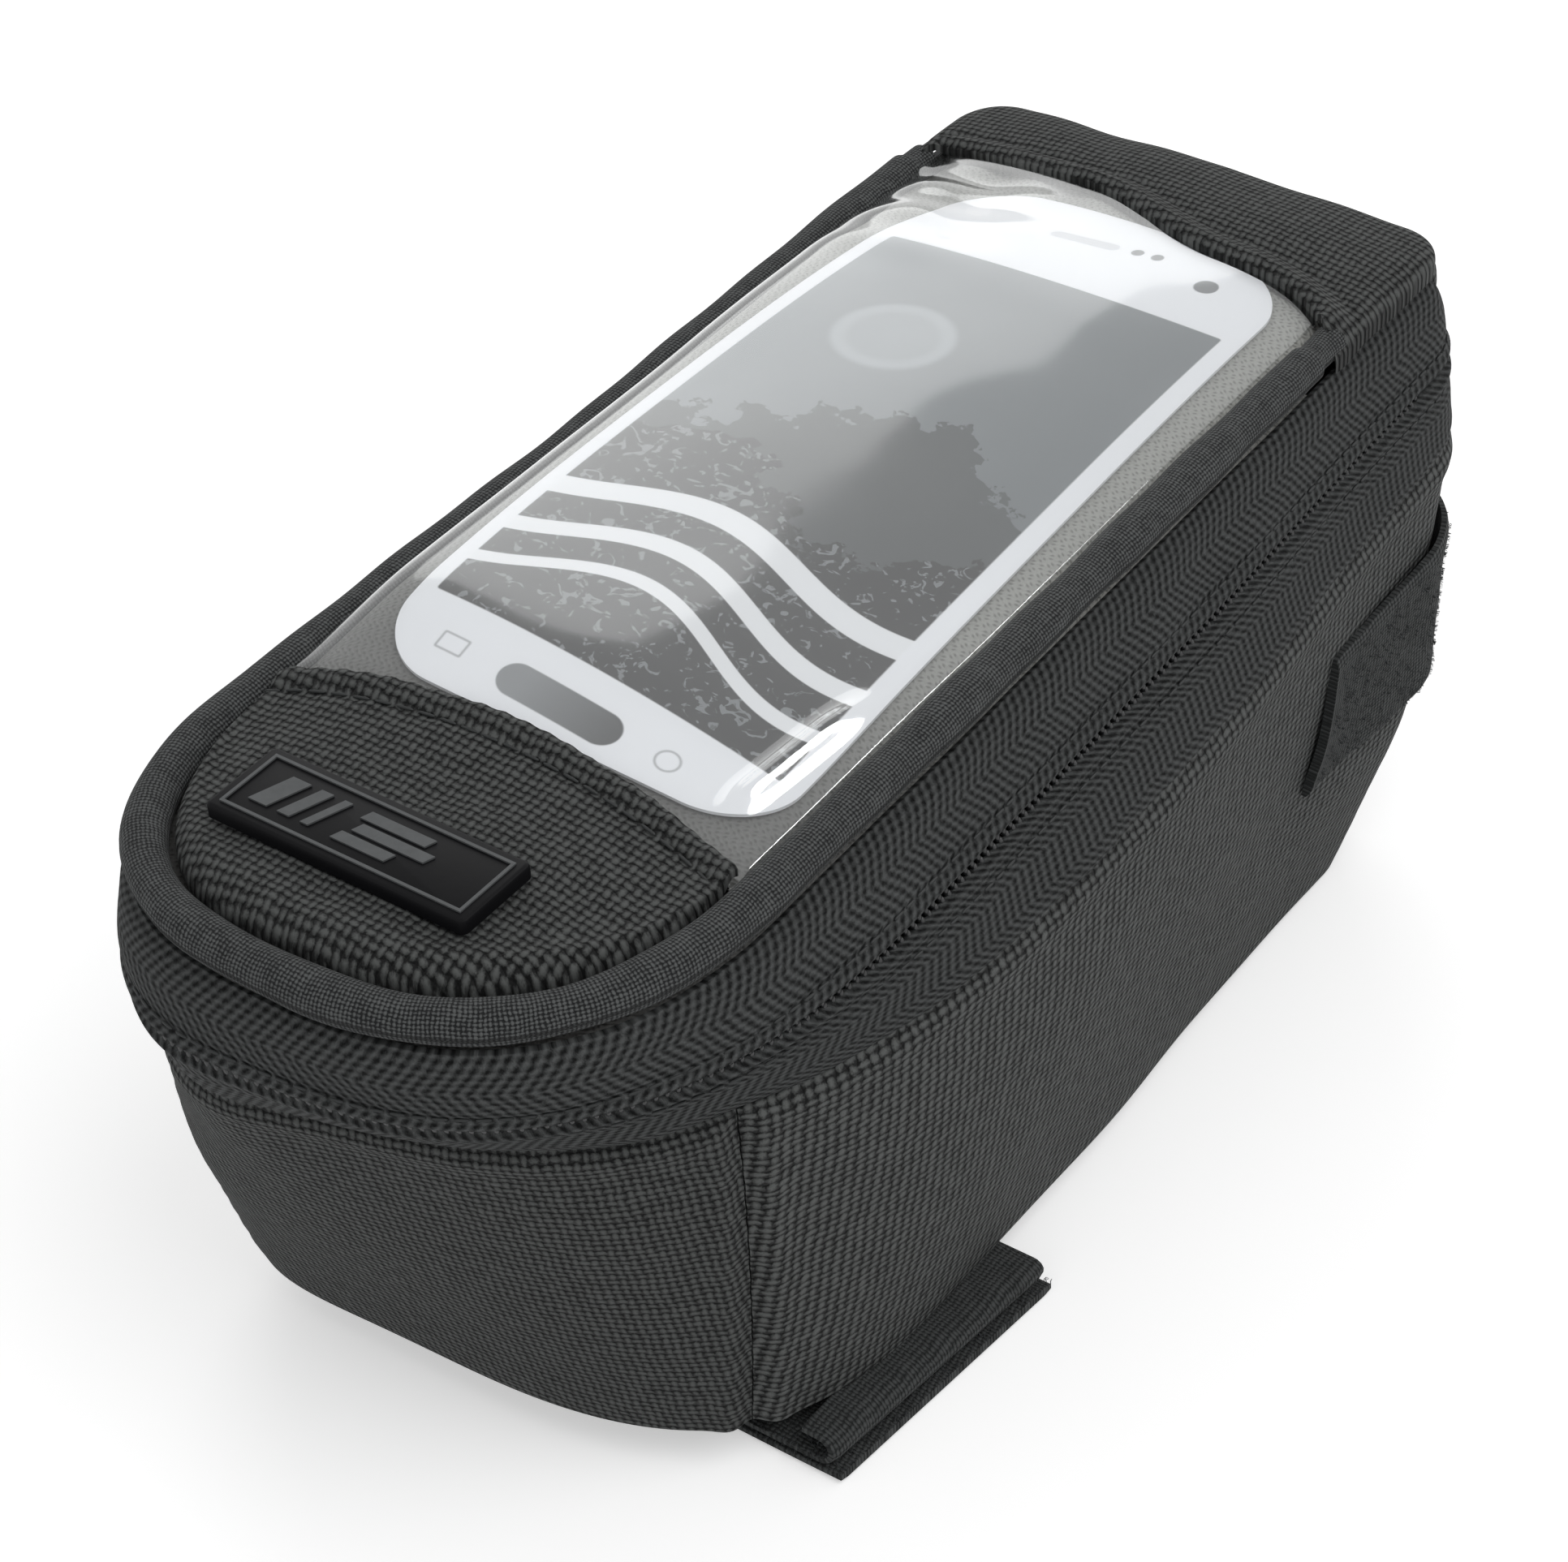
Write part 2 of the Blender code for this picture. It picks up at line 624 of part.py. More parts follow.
def build_card():
    """Printed card that lies in the pocket under the film."""
    half_width = inner_half_width(PIPING_END) - CARD_SIDE_GAP
    near, far = WINDOW_NEAR + CARD_NEAR_GAP, WINDOW_FAR - CARD_FAR_GAP
    centre, half_length = (near + far) / 2, (far - near) / 2
    grid = []
    for along in spaced(-1, 1, 13):
        row = []
        for across in CARD_COLUMNS:
            x = across * half_width
            y = centre + along * (half_length - CARD_CORNER * abs(across) ** 5)
            row.append(Vector((x, y, lid_top(x, y) - FILM - CARD_DROP)))
        grid.append(row)
    lid_sheet("phone_card", grid, CARD, (0.80, 0.80, 0.80), 0.45)


def build_backing():
    """Lining panel under the phone pocket; its far end stays open as the pocket's mouth."""
    level = RIM.inset(TAPE + 2 * CLEAR)
    end = place_at_y(level, BACKING_END)
    columns = 18
    grid = []
    for across in spaced(-1, 1, 7):
        row = []
        for place in spaced(0.03, end, columns):
            x, y = outline_point(level, place)
            row.append(Vector((x * across, y, RIM_HEIGHT)))
        grid.append(row)
    lid_sheet("pocket_backing", grid, BACKING, LINING_GREY, 0.85)


def build_far_cover():
    """Fabric panel over the lid's square end; it rolls down to the hinge fold."""
    right, left = (place_at_y(RIM, PIPING_END + 0.001, side) for side in (1, -1))
    places = spaced(right, 2 + left, 25)
    width = inner_half_width(PIPING_END)
    grid = []
    for share in spaced(0, 1, 7):
        row = []
        for i, place in enumerate(places):
            outer_x, outer_y = outline_point(RIM, place)
            turn = math.pi * i / (len(places) - 1)
            inner_x = width * math.copysign(abs(math.cos(turn)) ** 0.55, math.cos(turn))
            inner_y = window_far_edge(inner_x) + 0.0002
            reach = math.sin(share * math.pi / 2)
            x = inner_x + (outer_x - inner_x) * reach
            y = inner_y + (outer_y - inner_y) * reach
            top = lid_top(inner_x, inner_y) - RIM_HEIGHT
            low = FABRIC + CLEAR
            row.append(Vector((x, y, RIM_HEIGHT + low + (top - low) * math.cos(share * math.pi / 2))))
        grid.append(row)
    lid_sheet("far_cover_panel", grid, FABRIC, DARK_FABRIC, 0.82)


def build_badge():
    """Moulded rubber badge: a rounded plate with a raised border and a bare sunk field."""
    rest = lid_top(0, BADGE_CENTRE) + CLEAR
    bpy.ops.mesh.primitive_cube_add(size=1, location=(0, BADGE_CENTRE, rest + BADGE_THICKNESS / 2))
    badge = bpy.context.object
    badge.name = "rubber_badge"
    badge.data.transform(Matrix.Diagonal((BADGE_WIDTH, BADGE_DEPTH, BADGE_THICKNESS, 1)))
    shape = bmesh.new()
    shape.from_mesh(badge.data)
    corners = [e for e in shape.edges if abs(e.verts[0].co.z - e.verts[1].co.z) > 1e-6]
    bmesh.ops.bevel(shape, geom=corners, offset=0.0012, segments=3, affect="EDGES", profile=0.5)
    top = max(shape.faces, key=lambda face: face.calc_center_median().z)
    bmesh.ops.inset_region(shape, faces=[top], thickness=BADGE_BORDER)
    bmesh.ops.inset_region(shape, faces=[top], thickness=BADGE_RECESS, depth=-BADGE_RECESS)
    shape.to_mesh(badge.data)
    shape.free()
    finish_object(badge, (0.012, 0.012, 0.014), 0.35)


def slider_matrix():
    """Slider's frame on the left straight run: X along the travel, Y up the zip's face, Z outwards."""
    point, along, up, out = zip_frame(place_at_y(ZIP, SLIDER_REST, -1))
    turned = Matrix((along, up, out)).transposed().to_4x4()
    return Matrix.Translation(point) @ turned


def block(low, high):
    """Vertices and faces of a box between two corners."""
    verts = [Vector((x, y, z)) for x in (low[0], high[0]) for y in (low[1], high[1]) for z in (low[2], high[2])]
    faces = [(0, 1, 3, 2), (4, 6, 7, 5), (0, 4, 5, 1), (2, 3, 7, 6), (0, 2, 6, 4), (1, 5, 7, 3)]
    return verts, faces


def union_blocks(name, blocks, matrix, colour, roughness, metallic):
    """One solid from several overlapping boxes."""
    objects = []
    for i, (low, high) in enumerate(blocks):
        verts, faces = block(low, high)
        objects.append(mesh_object(f"{name}_{i}", verts, faces, colour, roughness, metallic))
    body = objects[0]
    for other in objects[1:]:
        join = body.modifiers.new("join", "BOOLEAN")
        join.operation = "UNION"
        join.object = other
    bpy.context.view_layer.update()
    evaluated = body.evaluated_get(bpy.context.evaluated_depsgraph_get())
    mesh = bpy.data.meshes.new_from_object(evaluated)
    for obj in objects:
        bpy.data.objects.remove(obj)
    result = bpy.data.objects.new(name, mesh)
    bpy.context.scene.collection.objects.link(result)
    result.matrix_world = matrix
    finish_object(result, colour, roughness, metallic, 30)
    return result


def build_slider():
    """Zip slider that straddles both tapes: two plates, a thin divider, flanges and an arch for the pull."""
    matrix = slider_matrix()
    half_length, half_width = SLIDER_LENGTH / 2, SLIDER_WIDTH / 2
    top = SLIDER_CLEAR
    coil_top = -max(coil_depth(place_at_y(ZIP, y, -1)) for y in (0.0, SLIDER_REST))
    under = coil_top - COIL_HEIGHT - SLIDER_CLEAR
    flange = COIL_WIDTH + SLIT / 2 + SLIDER_CLEAR
    blocks = [
        ((-half_length, -half_width, top), (half_length, half_width, top + SLIDER_PLATE)),
        ((-half_length, -half_width, under - SLIDER_PLATE), (half_length, half_width, under)),
        ((-half_length, -SLIDER_BLADE / 2, under - SLIDER_PLATE / 2),
         (-half_length + BLADE_LENGTH, SLIDER_BLADE / 2, top + SLIDER_PLATE / 2)),
    ]
    for side in (-1, 1):
        low, high = sorted((side * flange, side * half_width))
        blocks.append(((-half_length, low, under - SLIDER_PLATE / 2), (half_length, high, coil_top - COIL_HEIGHT / 2)))
    arch_top = top + PULL_ARCH
    arch_half = ARCH_WIDTH / 2
    for end in (-1, 1):
        low, high = sorted((end * (ARCH_REACH - ARCH_LEG), end * ARCH_REACH))
        blocks.append(((low, -arch_half, top + SLIDER_PLATE / 2), (high, arch_half, arch_top)))
    blocks.append(((-ARCH_REACH, -arch_half, arch_top - ARCH_THICKNESS), (ARCH_REACH, arch_half, arch_top)))
    union_blocks("slider_body", blocks, matrix, (0.03, 0.03, 0.032), 0.4, 0.6)


def build_pull():
    """Pull tab: a ring round the slider's arch and a flat tail that lies along the tape."""
    bar_middle = PULL_BAR * 2.5
    level = SLIDER_CLEAR + SLIDER_PLATE + PULL_BAR / 2 + PULL_THICKNESS / 2
    matrix = slider_matrix() @ Matrix.Translation((bar_middle, 0, level))
    high = PULL_THICKNESS / 2
    half = PULL_WIDTH / 2
    inner = half - PULL_BAR
    bar_end = PULL_BAR / 2
    tail_start = -SLIDER_LENGTH / 2 - bar_middle
    arm_end = tail_start - PULL_BAR
    tail_end = -PULL_LENGTH - bar_middle
    blocks = [
        ((-bar_end, -half, -high), (bar_end, half, high)),
        ((arm_end, -half, -high), (bar_end, -inner, high)),
        ((arm_end, inner, -high), (bar_end, half, high)),
        ((tail_end, -half, -high), (tail_start, half, high)),
    ]
    union_blocks("pull_tab", blocks, matrix, (0.05, 0.05, 0.055), 0.5, 0.3)


def strap_sheet(name, path, y_low, y_high, colour, roughness, count=4):
    """Strap swept along Y-wide: path(y) gives the centre line points in X and Z."""
    outer, inner = [], []
    for y in spaced(y_low, y_high, count):
        points = path(y)
        row_out, row_in = [], []
        for i, (x, z) in enumerate(points):
            before = points[max(i - 1, 0)]
            after = points[min(i + 1, len(points) - 1)]
            along = Vector((after[0] - before[0], 0, after[1] - before[1])).normalized()
            normal = Vector((along.z, 0, -along.x))
            centre = Vector((x, y, z))
            row_out.append(centre + normal * STRAP / 2)
            row_in.append(centre - normal * STRAP / 2)
        outer.append(row_out)
        inner.append(row_in)
    return sheet(name, outer, inner, colour, roughness)


def curl_path(side, run_height, end_x):
    """Strap that leaves the bottom seam, curls round and runs back under the bag."""

    def path(y):
        start = bottom_height(y) - CLEAR - STRAP / 2
        middle = (start + run_height) / 2
        radius = (start - run_height) / 2
        points = [(side * NEAR_STRAP_TUCK, start), (side * (NEAR_STRAP_OUT - radius - 0.002), start)]
        turn_x = NEAR_STRAP_OUT - STRAP / 2 - radius
        for k in range(7):
            turn = math.pi / 2 - math.pi * k / 6
            points.append((side * (turn_x + radius * math.cos(turn)), middle + radius * math.sin(turn)))
        points.append((side * (turn_x - 0.004), run_height))
        for share in (0.5, 1.0):
            points.append((side * (turn_x - 0.004) + (end_x - side * (turn_x - 0.004)) * share, run_height))
        return points

    return path


def build_near_straps():
    """Two hook and loop straps for the top tube, folded flat under the near end."""
    low = NEAR_STRAP_CENTRE - NEAR_STRAP_WIDTH / 2
    high = NEAR_STRAP_CENTRE + NEAR_STRAP_WIDTH / 2
    floor_run = STRAP / 2
    upper_run = floor_run + STRAP + CLEAR
    strap_sheet("near_strap_left", curl_path(-1, floor_run, NEAR_STRAP_LEFT_END), low, high, (0.05, 0.05, 0.052), 0.95)
    strap_sheet("near_strap_right", curl_path(1, upper_run, NEAR_STRAP_RIGHT_END), low, high, (0.06, 0.06, 0.062),
                0.95)


def build_far_straps():
    """Two hook and loop straps for the head tube, closed flat round the far end."""
    seam_height = RIM_HEIGHT - SEAM_DROP
    middle = 2 + (seam_height - FAR_STRAP_HEIGHT) / seam_height
    half = FAR_STRAP_WIDTH / 2 / seam_height
    rows = spaced(middle - half, middle + half, 4)
    level = SEAM.mixed(BOTTOM, middle - 2)
    right_start, left_start = (place_at_y(level, FAR_STRAP_START, side) for side in (1, -1))
    reach = FAR_STRAP_OVERLAP / outline_length(level)
    first = -(CLEAR + STRAP)
    second = first - CLEAR - STRAP
    skin_sheet("far_strap_right", columns_between(right_start, 1 + reach), rows, first, STRAP, (0.06, 0.06, 0.062), 0.95)
    skin_sheet("far_strap_left", columns_between(1 - reach, 2 + left_start), rows, second, STRAP,
               (0.05, 0.05, 0.052), 0.95)


LID_PIECES = ("upper_zip_tape", "upper_zip_coil", "lid_piping", "near_cover_panel", "window_film", "phone_card",
              "pocket_backing", "far_cover_panel", "rubber_badge")


def keep_place_under(parent, child):
    """Parents a piece without moving it."""
    child.parent = parent
    child.matrix_parent_inverse = parent.matrix_world.inverted()


def hang_moving_pieces():
    """Puts the lid's pieces under an empty on the fold line and the pull under the slider."""
    fold = bpy.data.objects.new("lid_fold_line", None)
    fold.location = (0, FAR_Y - RIM_FAR_INSET, RIM_HEIGHT)
    bpy.context.scene.collection.objects.link(fold)
    bpy.context.view_layer.update()
    for name in LID_PIECES:
        keep_place_under(fold, bpy.data.objects[name])
    keep_place_under(bpy.data.objects["slider_body"], bpy.data.objects["pull_tab"])


def main():
    for obj in list(bpy.data.objects):
        bpy.data.objects.remove(obj)
    build_walls()
    build_lining()
    build_bottom()
    build_zip()
    build_piping()
    build_near_cover()
    build_window()
    build_card()
    build_backing()
    build_far_cover()
    build_badge()
    build_slider()
    build_pull()
    build_near_straps()
    build_far_straps()
    hang_moving_pieces()


main()
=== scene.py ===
import math

import bmesh
import bpy
import numpy as np
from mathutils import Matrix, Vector


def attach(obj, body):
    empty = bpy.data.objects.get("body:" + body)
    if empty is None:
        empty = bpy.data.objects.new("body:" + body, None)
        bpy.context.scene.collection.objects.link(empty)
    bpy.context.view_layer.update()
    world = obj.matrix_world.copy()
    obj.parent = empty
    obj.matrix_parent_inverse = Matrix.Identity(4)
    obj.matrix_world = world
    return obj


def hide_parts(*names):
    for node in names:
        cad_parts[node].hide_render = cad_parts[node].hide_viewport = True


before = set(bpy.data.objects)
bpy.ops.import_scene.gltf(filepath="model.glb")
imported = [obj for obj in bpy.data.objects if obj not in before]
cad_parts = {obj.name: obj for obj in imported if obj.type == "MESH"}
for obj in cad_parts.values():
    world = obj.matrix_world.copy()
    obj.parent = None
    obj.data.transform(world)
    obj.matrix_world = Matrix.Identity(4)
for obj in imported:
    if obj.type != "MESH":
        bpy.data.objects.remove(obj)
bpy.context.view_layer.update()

print("bag: frame loaded")

# plan outlines of the bag in metres: drop below the rim, half width, tip, nose length, side taper, far end,
# corner, roundness of the nose left and right, lean along Y per metre of X, shift along X
bag = {
    "tipY": -0.0995, "farY": 0.0995, "rimHeight": 0.088, "nearLift": 0.008,
    "rim": (0.0, 0.038, -0.0975, 0.038, 0.013, 0.0970, 0.007, 2.8, 2.4, 0.0, 0.0),
    "zip": (0.0108, 0.0433, -0.0989, 0.060, 0.015, 0.0985, 0.014, 3.0, 2.6, 0.10, 0.0),
    "seam": (0.0200, 0.0488, -0.0930, 0.100, 0.050, 0.0995, 0.018, 3.0, 3.2, 0.28, 0.0),
    "bottom": (0.088, 0.0395, -0.0725, 0.038, 0.040, 0.0845, 0.014, 5.0, 3.0, 0.075, -0.0028),
    "wallBulge": 0.0015, "nearSeam": 0.172, "farSeam": 0.850, "leanReach": 0.0995,
    "leftDraw": (0.0, 0.0055, 0.0080, -0.0028), "drawReach": 0.105, "rimShift": 0.0010,
    "rightDraw": (0.0, 0.0010, 0.0018, 0.0),
}


# Shape helpers

def mixLevel(a, b, share):
    return tuple(np.array(a) + (np.array(b) - np.array(a)) * share)


def insetLevel(level, distance):
    # the same outline, drawn in all round
    drop, width, tip, nose, taper, far, corner = level[:7]
    turn = max(corner - distance, 0.001)
    return (drop, width - distance, tip + distance, nose, taper, far - distance, turn) + tuple(level[7:])


def halfOutline(level, side=1, steps=48):
    _, width, tip, nose, taper, far, corner, leftPower, rightPower = level[:9]
    turn = np.linspace(0, math.pi / 2, steps)
    power = 2 / (leftPower if side < 0 else rightPower)
    sideEnd = far - corner
    sideX = width - taper * (sideEnd - tip - nose)
    cornerX, cornerY = sideX - corner + corner * np.cos(turn[1:]), sideEnd + corner * np.sin(turn[1:])
    x = np.concatenate([width * np.sin(turn) ** power, [sideX], cornerX, [0.0]])
    y = np.concatenate([tip + nose * (1 - np.cos(turn) ** power), [sideEnd], cornerY, [far]])
    length = np.concatenate([[0], np.cumsum(np.hypot(np.diff(x), np.diff(y)))])
    return length / length[-1], x, y, length[-1]


def outlineAt(level, places):
    places = np.asarray(places, float)
    wrapped = np.where(np.abs(places) > 1, (places + 1) % 2 - 1, places)
    x, y = np.zeros_like(wrapped), np.zeros_like(wrapped)
    for side in (-1, 1):
        share, xs, ys, _ = halfOutline(level, side)
        here = wrapped < 0 if side < 0 else wrapped >= 0
        x[here] = side * np.interp(np.abs(wrapped[here]), share, xs)
        y[here] = np.interp(np.abs(wrapped[here]), share, ys)
    near = np.clip((bag["tipY"] + bag["leanReach"] - y) / bag["leanReach"], 0, 1)
    near = near * near * (3 - 2 * near)
    return x + level[10] * near + rimShift(x, y, level[0]), y + level[9] * x * near


def rimShift(x, y, drop=0.0):
    # the left rim lies in towards the middle by the nose and out at the far end
    share = max(0.0, 1 - drop / bag["zip"][0])
    return share * bag["rimShift"] * (1 - 2 * bump(y, -0.005, 0.065)) * bump(-x, 0, 0.03)


def placeAtY(level, y, side=1):
    share, _, ys, _ = halfOutline(level, side)
    return side * float(np.interp(y, ys, share))


def bottomHeight(y):
    near, far = bag["bottom"][2], bag["bottom"][5]
    return bag["nearLift"] * (far - y) / (far - near)


def skin(places, rows):
    # the bag's outer skin: row 0-1 upper zip band, 1-2 lower zip band, 2-3 walls
    grid = np.zeros((len(rows), len(places), 3))
    for i, row in enumerate(rows):
        if row <= 1:
            level = mixLevel(bag["rim"], bag["zip"], row)
        elif row <= 2:
            level = mixLevel(bag["zip"], bag["seam"], row - 1)
        else:
            level = mixLevel(bag["seam"], bag["bottom"], row - 2)
        x, y = outlineAt(level, places)
        z = np.full_like(x, bag["rimHeight"] - level[0])
        if row > 2:
            down = row - 2
            seamZ = bag["rimHeight"] - bag["seam"][0]
            x = x * (1 + 4 * down * (1 - down) * bag["wallBulge"] / bag["bottom"][1])
            z = seamZ + (bottomHeight(y) - seamZ) * down
        # the cloth is drawn in under the rim at the left of the nose
        near = bump((bag["tipY"] + bag["drawReach"] - y) / bag["drawReach"], 0, 1)
        x = x + np.interp(row, (0, 1, 2, 3), bag["leftDraw"]) * near * bump(-x, 0, 0.03)
        x = x - np.interp(row, (0, 1, 2, 3), bag["rightDraw"]) * bump(y, 0.02, 0.07) * bump(x, 0, 0.03)
        grid[i] = np.stack([x, y, z], axis=-1)
    return grid


def skinNormals(places, rows, low, high, step=1e-3):
    places, rows = np.asarray(places, float), np.asarray(rows, float)
    along = skin(places + step, rows) - skin(places - step, rows)
    down = skin(places, np.minimum(rows + step, high)) - skin(places, np.maximum(rows - step, low))
    normal = np.cross(down, along)
    return normal / np.linalg.norm(normal, axis=-1, keepdims=True)


def distances(grid):
    # millimetres along each row from its middle column, and down each column from the first row
    alongStep = np.linalg.norm(np.diff(grid, axis=1), axis=-1)
    along = np.concatenate([np.zeros((grid.shape[0], 1)), np.cumsum(alongStep, axis=1)], axis=1) * 1000
    along -= along[:, grid.shape[1] // 2][:, None]
    downStep = np.linalg.norm(np.diff(grid, axis=0), axis=-1)
    down = np.concatenate([np.zeros((1, grid.shape[1])), np.cumsum(downStep, axis=0)], axis=0) * 1000
    return along, down


def softNoise(u, v, size, seed, waves=14):
    # smooth cloth unevenness: a sum of seeded waves about size millimetres long
    dice = np.random.default_rng(seed)
    total = np.zeros_like(u, dtype=float)
    for _ in range(waves):
        heading, pitch = dice.uniform(0, math.tau), size * dice.uniform(0.7, 1.8)
        run = u * math.cos(heading) + v * math.sin(heading)
        total += np.sin(run * math.tau / pitch + dice.uniform(0, math.tau))
    return total / math.sqrt(waves)


def bump(x, low, high):
    t = np.clip((x - low) / (high - low), 0, 1)
    return t * t * (3 - 2 * t)


def smoothCurve(xs, ys, x):
    # cubic through the points, with slopes taken from the neighbouring points
    xs, ys = np.asarray(xs, float), np.asarray(ys, float)
    slope = np.gradient(ys, xs)
    i = np.clip(np.searchsorted(xs, x) - 1, 0, len(xs) - 2)
    h = xs[i + 1] - xs[i]
    t = np.clip((x - xs[i]) / h, 0, 1)
    return ((2 * t ** 3 - 3 * t ** 2 + 1) * ys[i] + (t ** 3 - 2 * t ** 2 + t) * h * slope[i]
            + (-2 * t ** 3 + 3 * t ** 2) * ys[i + 1] + (t ** 3 - t ** 2) * h * slope[i + 1])


# Mesh helpers

def newPiece(name, verts, faces, uv=None, angle=60):
    mesh = bpy.data.meshes.new(name)
    points = [tuple(v) for v in np.asarray(verts, float)]
    mesh.from_pydata(points, [], [tuple(int(k) for k in f) for f in faces])
    if uv is not None:
        layer = mesh.uv_layers.new(name="UVMap")
        index = np.zeros(len(mesh.loops), dtype=np.int32)
        mesh.loops.foreach_get("vertex_index", index)
        layer.data.foreach_set("uv", np.asarray(uv, np.float32)[index].ravel())
    shape = bmesh.new()
    shape.from_mesh(mesh)
    bmesh.ops.recalc_face_normals(shape, faces=shape.faces)
    shape.to_mesh(mesh)
    shape.free()
    mesh.shade_smooth()
    mesh.set_sharp_from_angle(angle=math.radians(angle))
    piece = bpy.data.objects.new(name, mesh)
    bpy.context.scene.collection.objects.link(piece)
    return piece


def sheetMesh(name, outer, inner, uv, angle=60):
    # closed sheet between two grids of the same size
    rows, columns = outer.shape[:2]
    half = rows * columns
    verts = np.concatenate([outer.reshape(-1, 3), inner.reshape(-1, 3)])
    uvs = np.concatenate([uv.reshape(-1, 2), uv.reshape(-1, 2)])
    at = np.arange(half).reshape(rows, columns)
    top = np.stack([at[:-1, :-1], at[:-1, 1:], at[1:, 1:], at[1:, :-1]], axis=-1).reshape(-1, 4)
    faces = [*top.tolist(), *(top[:, ::-1] + half).tolist()]
    for edge in (at[0], at[-1], at[:, 0], at[:, -1]):
        faces += [(a, b, b + half, a + half) for a, b in zip(edge[:-1], edge[1:])]
    return newPiece(name, verts, faces, uvs, angle)


def tubeMesh(name, rings, uv, closed=False):
    # tube through rings of points, with round caps where it isn't closed
    count, sides = rings.shape[:2]
    verts = rings.reshape(-1, 3)
    faces = []
    for i in range(count if closed else count - 1):
        j = (i + 1) % count
        for k in range(sides):
            m = (k + 1) % sides
            faces.append((i * sides + k, i * sides + m, j * sides + m, j * sides + k))
    if not closed:
        faces.append(tuple(range(sides)))
        faces.append(tuple((count - 1) * sides + k for k in range(sides)))
    return newPiece(name, verts, faces, uv.reshape(-1, 2))


def capsules(name, centres, along, out, length, radius, flat=1.0, sides=6):
    # many small rounded stitches or teeth in one piece
    centres, along, out = (np.asarray(a, float) for a in (centres, along, out))
    along = along / np.linalg.norm(along, axis=-1, keepdims=True)
    out = out - along * np.sum(out * along, axis=-1, keepdims=True)
    out = out / np.linalg.norm(out, axis=-1, keepdims=True)
    side = np.cross(along, out)
    length = np.broadcast_to(np.asarray(length, float), (len(centres),))
    stations = [(-0.5, 0.25), (-0.42, 0.75), (-0.25, 1.0), (0.25, 1.0), (0.42, 0.75), (0.5, 0.25)]
    turn = np.arange(sides) * math.tau / sides
    verts = []
    for share, width in stations:
        mid = centres + along * (length * share)[:, None]
        for t in turn:
            across, up = radius * width * math.cos(t), radius * flat * width * math.sin(t)
            verts.append(mid + side * across + out * up)
    count = len(centres)
    verts = np.stack(verts, axis=1)
    faces = []
    for s in range(len(stations) - 1):
        for k in range(sides):
            m = (k + 1) % sides
            faces.append((s * sides + k, s * sides + m, (s + 1) * sides + m, (s + 1) * sides + k))
    faces.append(tuple(range(sides)))
    faces.append(tuple((len(stations) - 1) * sides + k for k in range(sides)))
    per = len(stations) * sides
    allFaces = [tuple(c + i * per for c in f) for i in range(count) for f in faces]
    return newPiece(name, verts.reshape(-1, 3), allFaces, None, 80)


def place(piece, body, material, replaced=()):
    piece.data.materials.append(material)
    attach(piece, body)
    if replaced:
        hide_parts(*replaced)


# Material helpers

def toLinear(hexText):
    values = [int(hexText[i:i + 2], 16) / 255 for i in (1, 3, 5)]
    return tuple(v / 12.92 if v <= 0.04045 else ((v + 0.055) / 1.055) ** 2.4 for v in values) + (1.0,)


def feed(tree, socket, value):
    # gives a socket another node's output, a hex colour or a plain value
    if isinstance(value, bpy.types.NodeSocket):
        tree.links.new(value, socket)
    else:
        socket.default_value = toLinear(value) if isinstance(value, str) else value


def add(tree, kind, settings=None, *links):
    # adds one node: settings are its own options or socket values, links are (socket, source)
    node = tree.nodes.new("ShaderNode" + kind)
    for key, value in (settings or {}).items():
        if isinstance(key, str) and hasattr(node, key):
            setattr(node, key, value)
        else:
            feed(tree, node.inputs[key], value)
    for key, source in links:
        tree.links.new(source, node.inputs[key])
    return node.outputs[0]


def calc(tree, operation, *values):
    # one sum in the material: each value is a number or another node's output
    node = tree.nodes.new("ShaderNodeMath")
    node.operation = operation
    for socket, value in zip(node.inputs, values):
        feed(tree, socket, value)
    return node.outputs[0]


def remap(tree, value, low, high):
    # 0 where the value is low, 1 where it is high
    return add(tree, "MapRange", {"From Min": low, "From Max": high}, ("Value", value))


def mixColours(tree, share, low, high, blend="MIX"):
    node = tree.nodes.new("ShaderNodeMix")
    node.data_type, node.blend_type = "RGBA", blend
    for socket, value in ((0, share), (6, low), (7, high)):
        feed(tree, node.inputs[socket], value)
    return node.outputs[2]


def newMaterial(name):
    material = bpy.data.materials.new(name)
    material.use_nodes = True
    tree = material.node_tree
    return material, tree, tree.nodes["Principled BSDF"]


def finish(tree, shader, values, height=None, strength=0.9, distance=0.0002):
    # sets the surface's values, and its relief in metres where a height is given
    for key, value in values.items():
        feed(tree, shader.inputs[key], value)
    if height is not None:
        normal = add(tree, "Bump", {"Strength": strength, "Distance": distance}, ("Height", height))
        feed(tree, shader.inputs["Normal"], normal)


def uvParts(tree):
    # the piece's own millimetres, along and down
    uv = add(tree, "UVMap", {"uv_map": "UVMap"})
    parts = tree.nodes.new("ShaderNodeSeparateXYZ")
    tree.links.new(uv, parts.inputs[0])
    return uv, parts.outputs[0], parts.outputs[1]


def clothCoordinates(tree):
    # thread coordinates that wander a little, as woven threads do
    uv, u, v = uvParts(tree)
    wobble = add(tree, "TexNoise", {"Scale": 0.22, "Detail": 2.0}, ("Vector", uv))
    shift = calc(tree, "MULTIPLY_ADD", wobble, 0.9, -0.45)
    return uv, calc(tree, "ADD", u, shift), calc(tree, "SUBTRACT", v, shift)


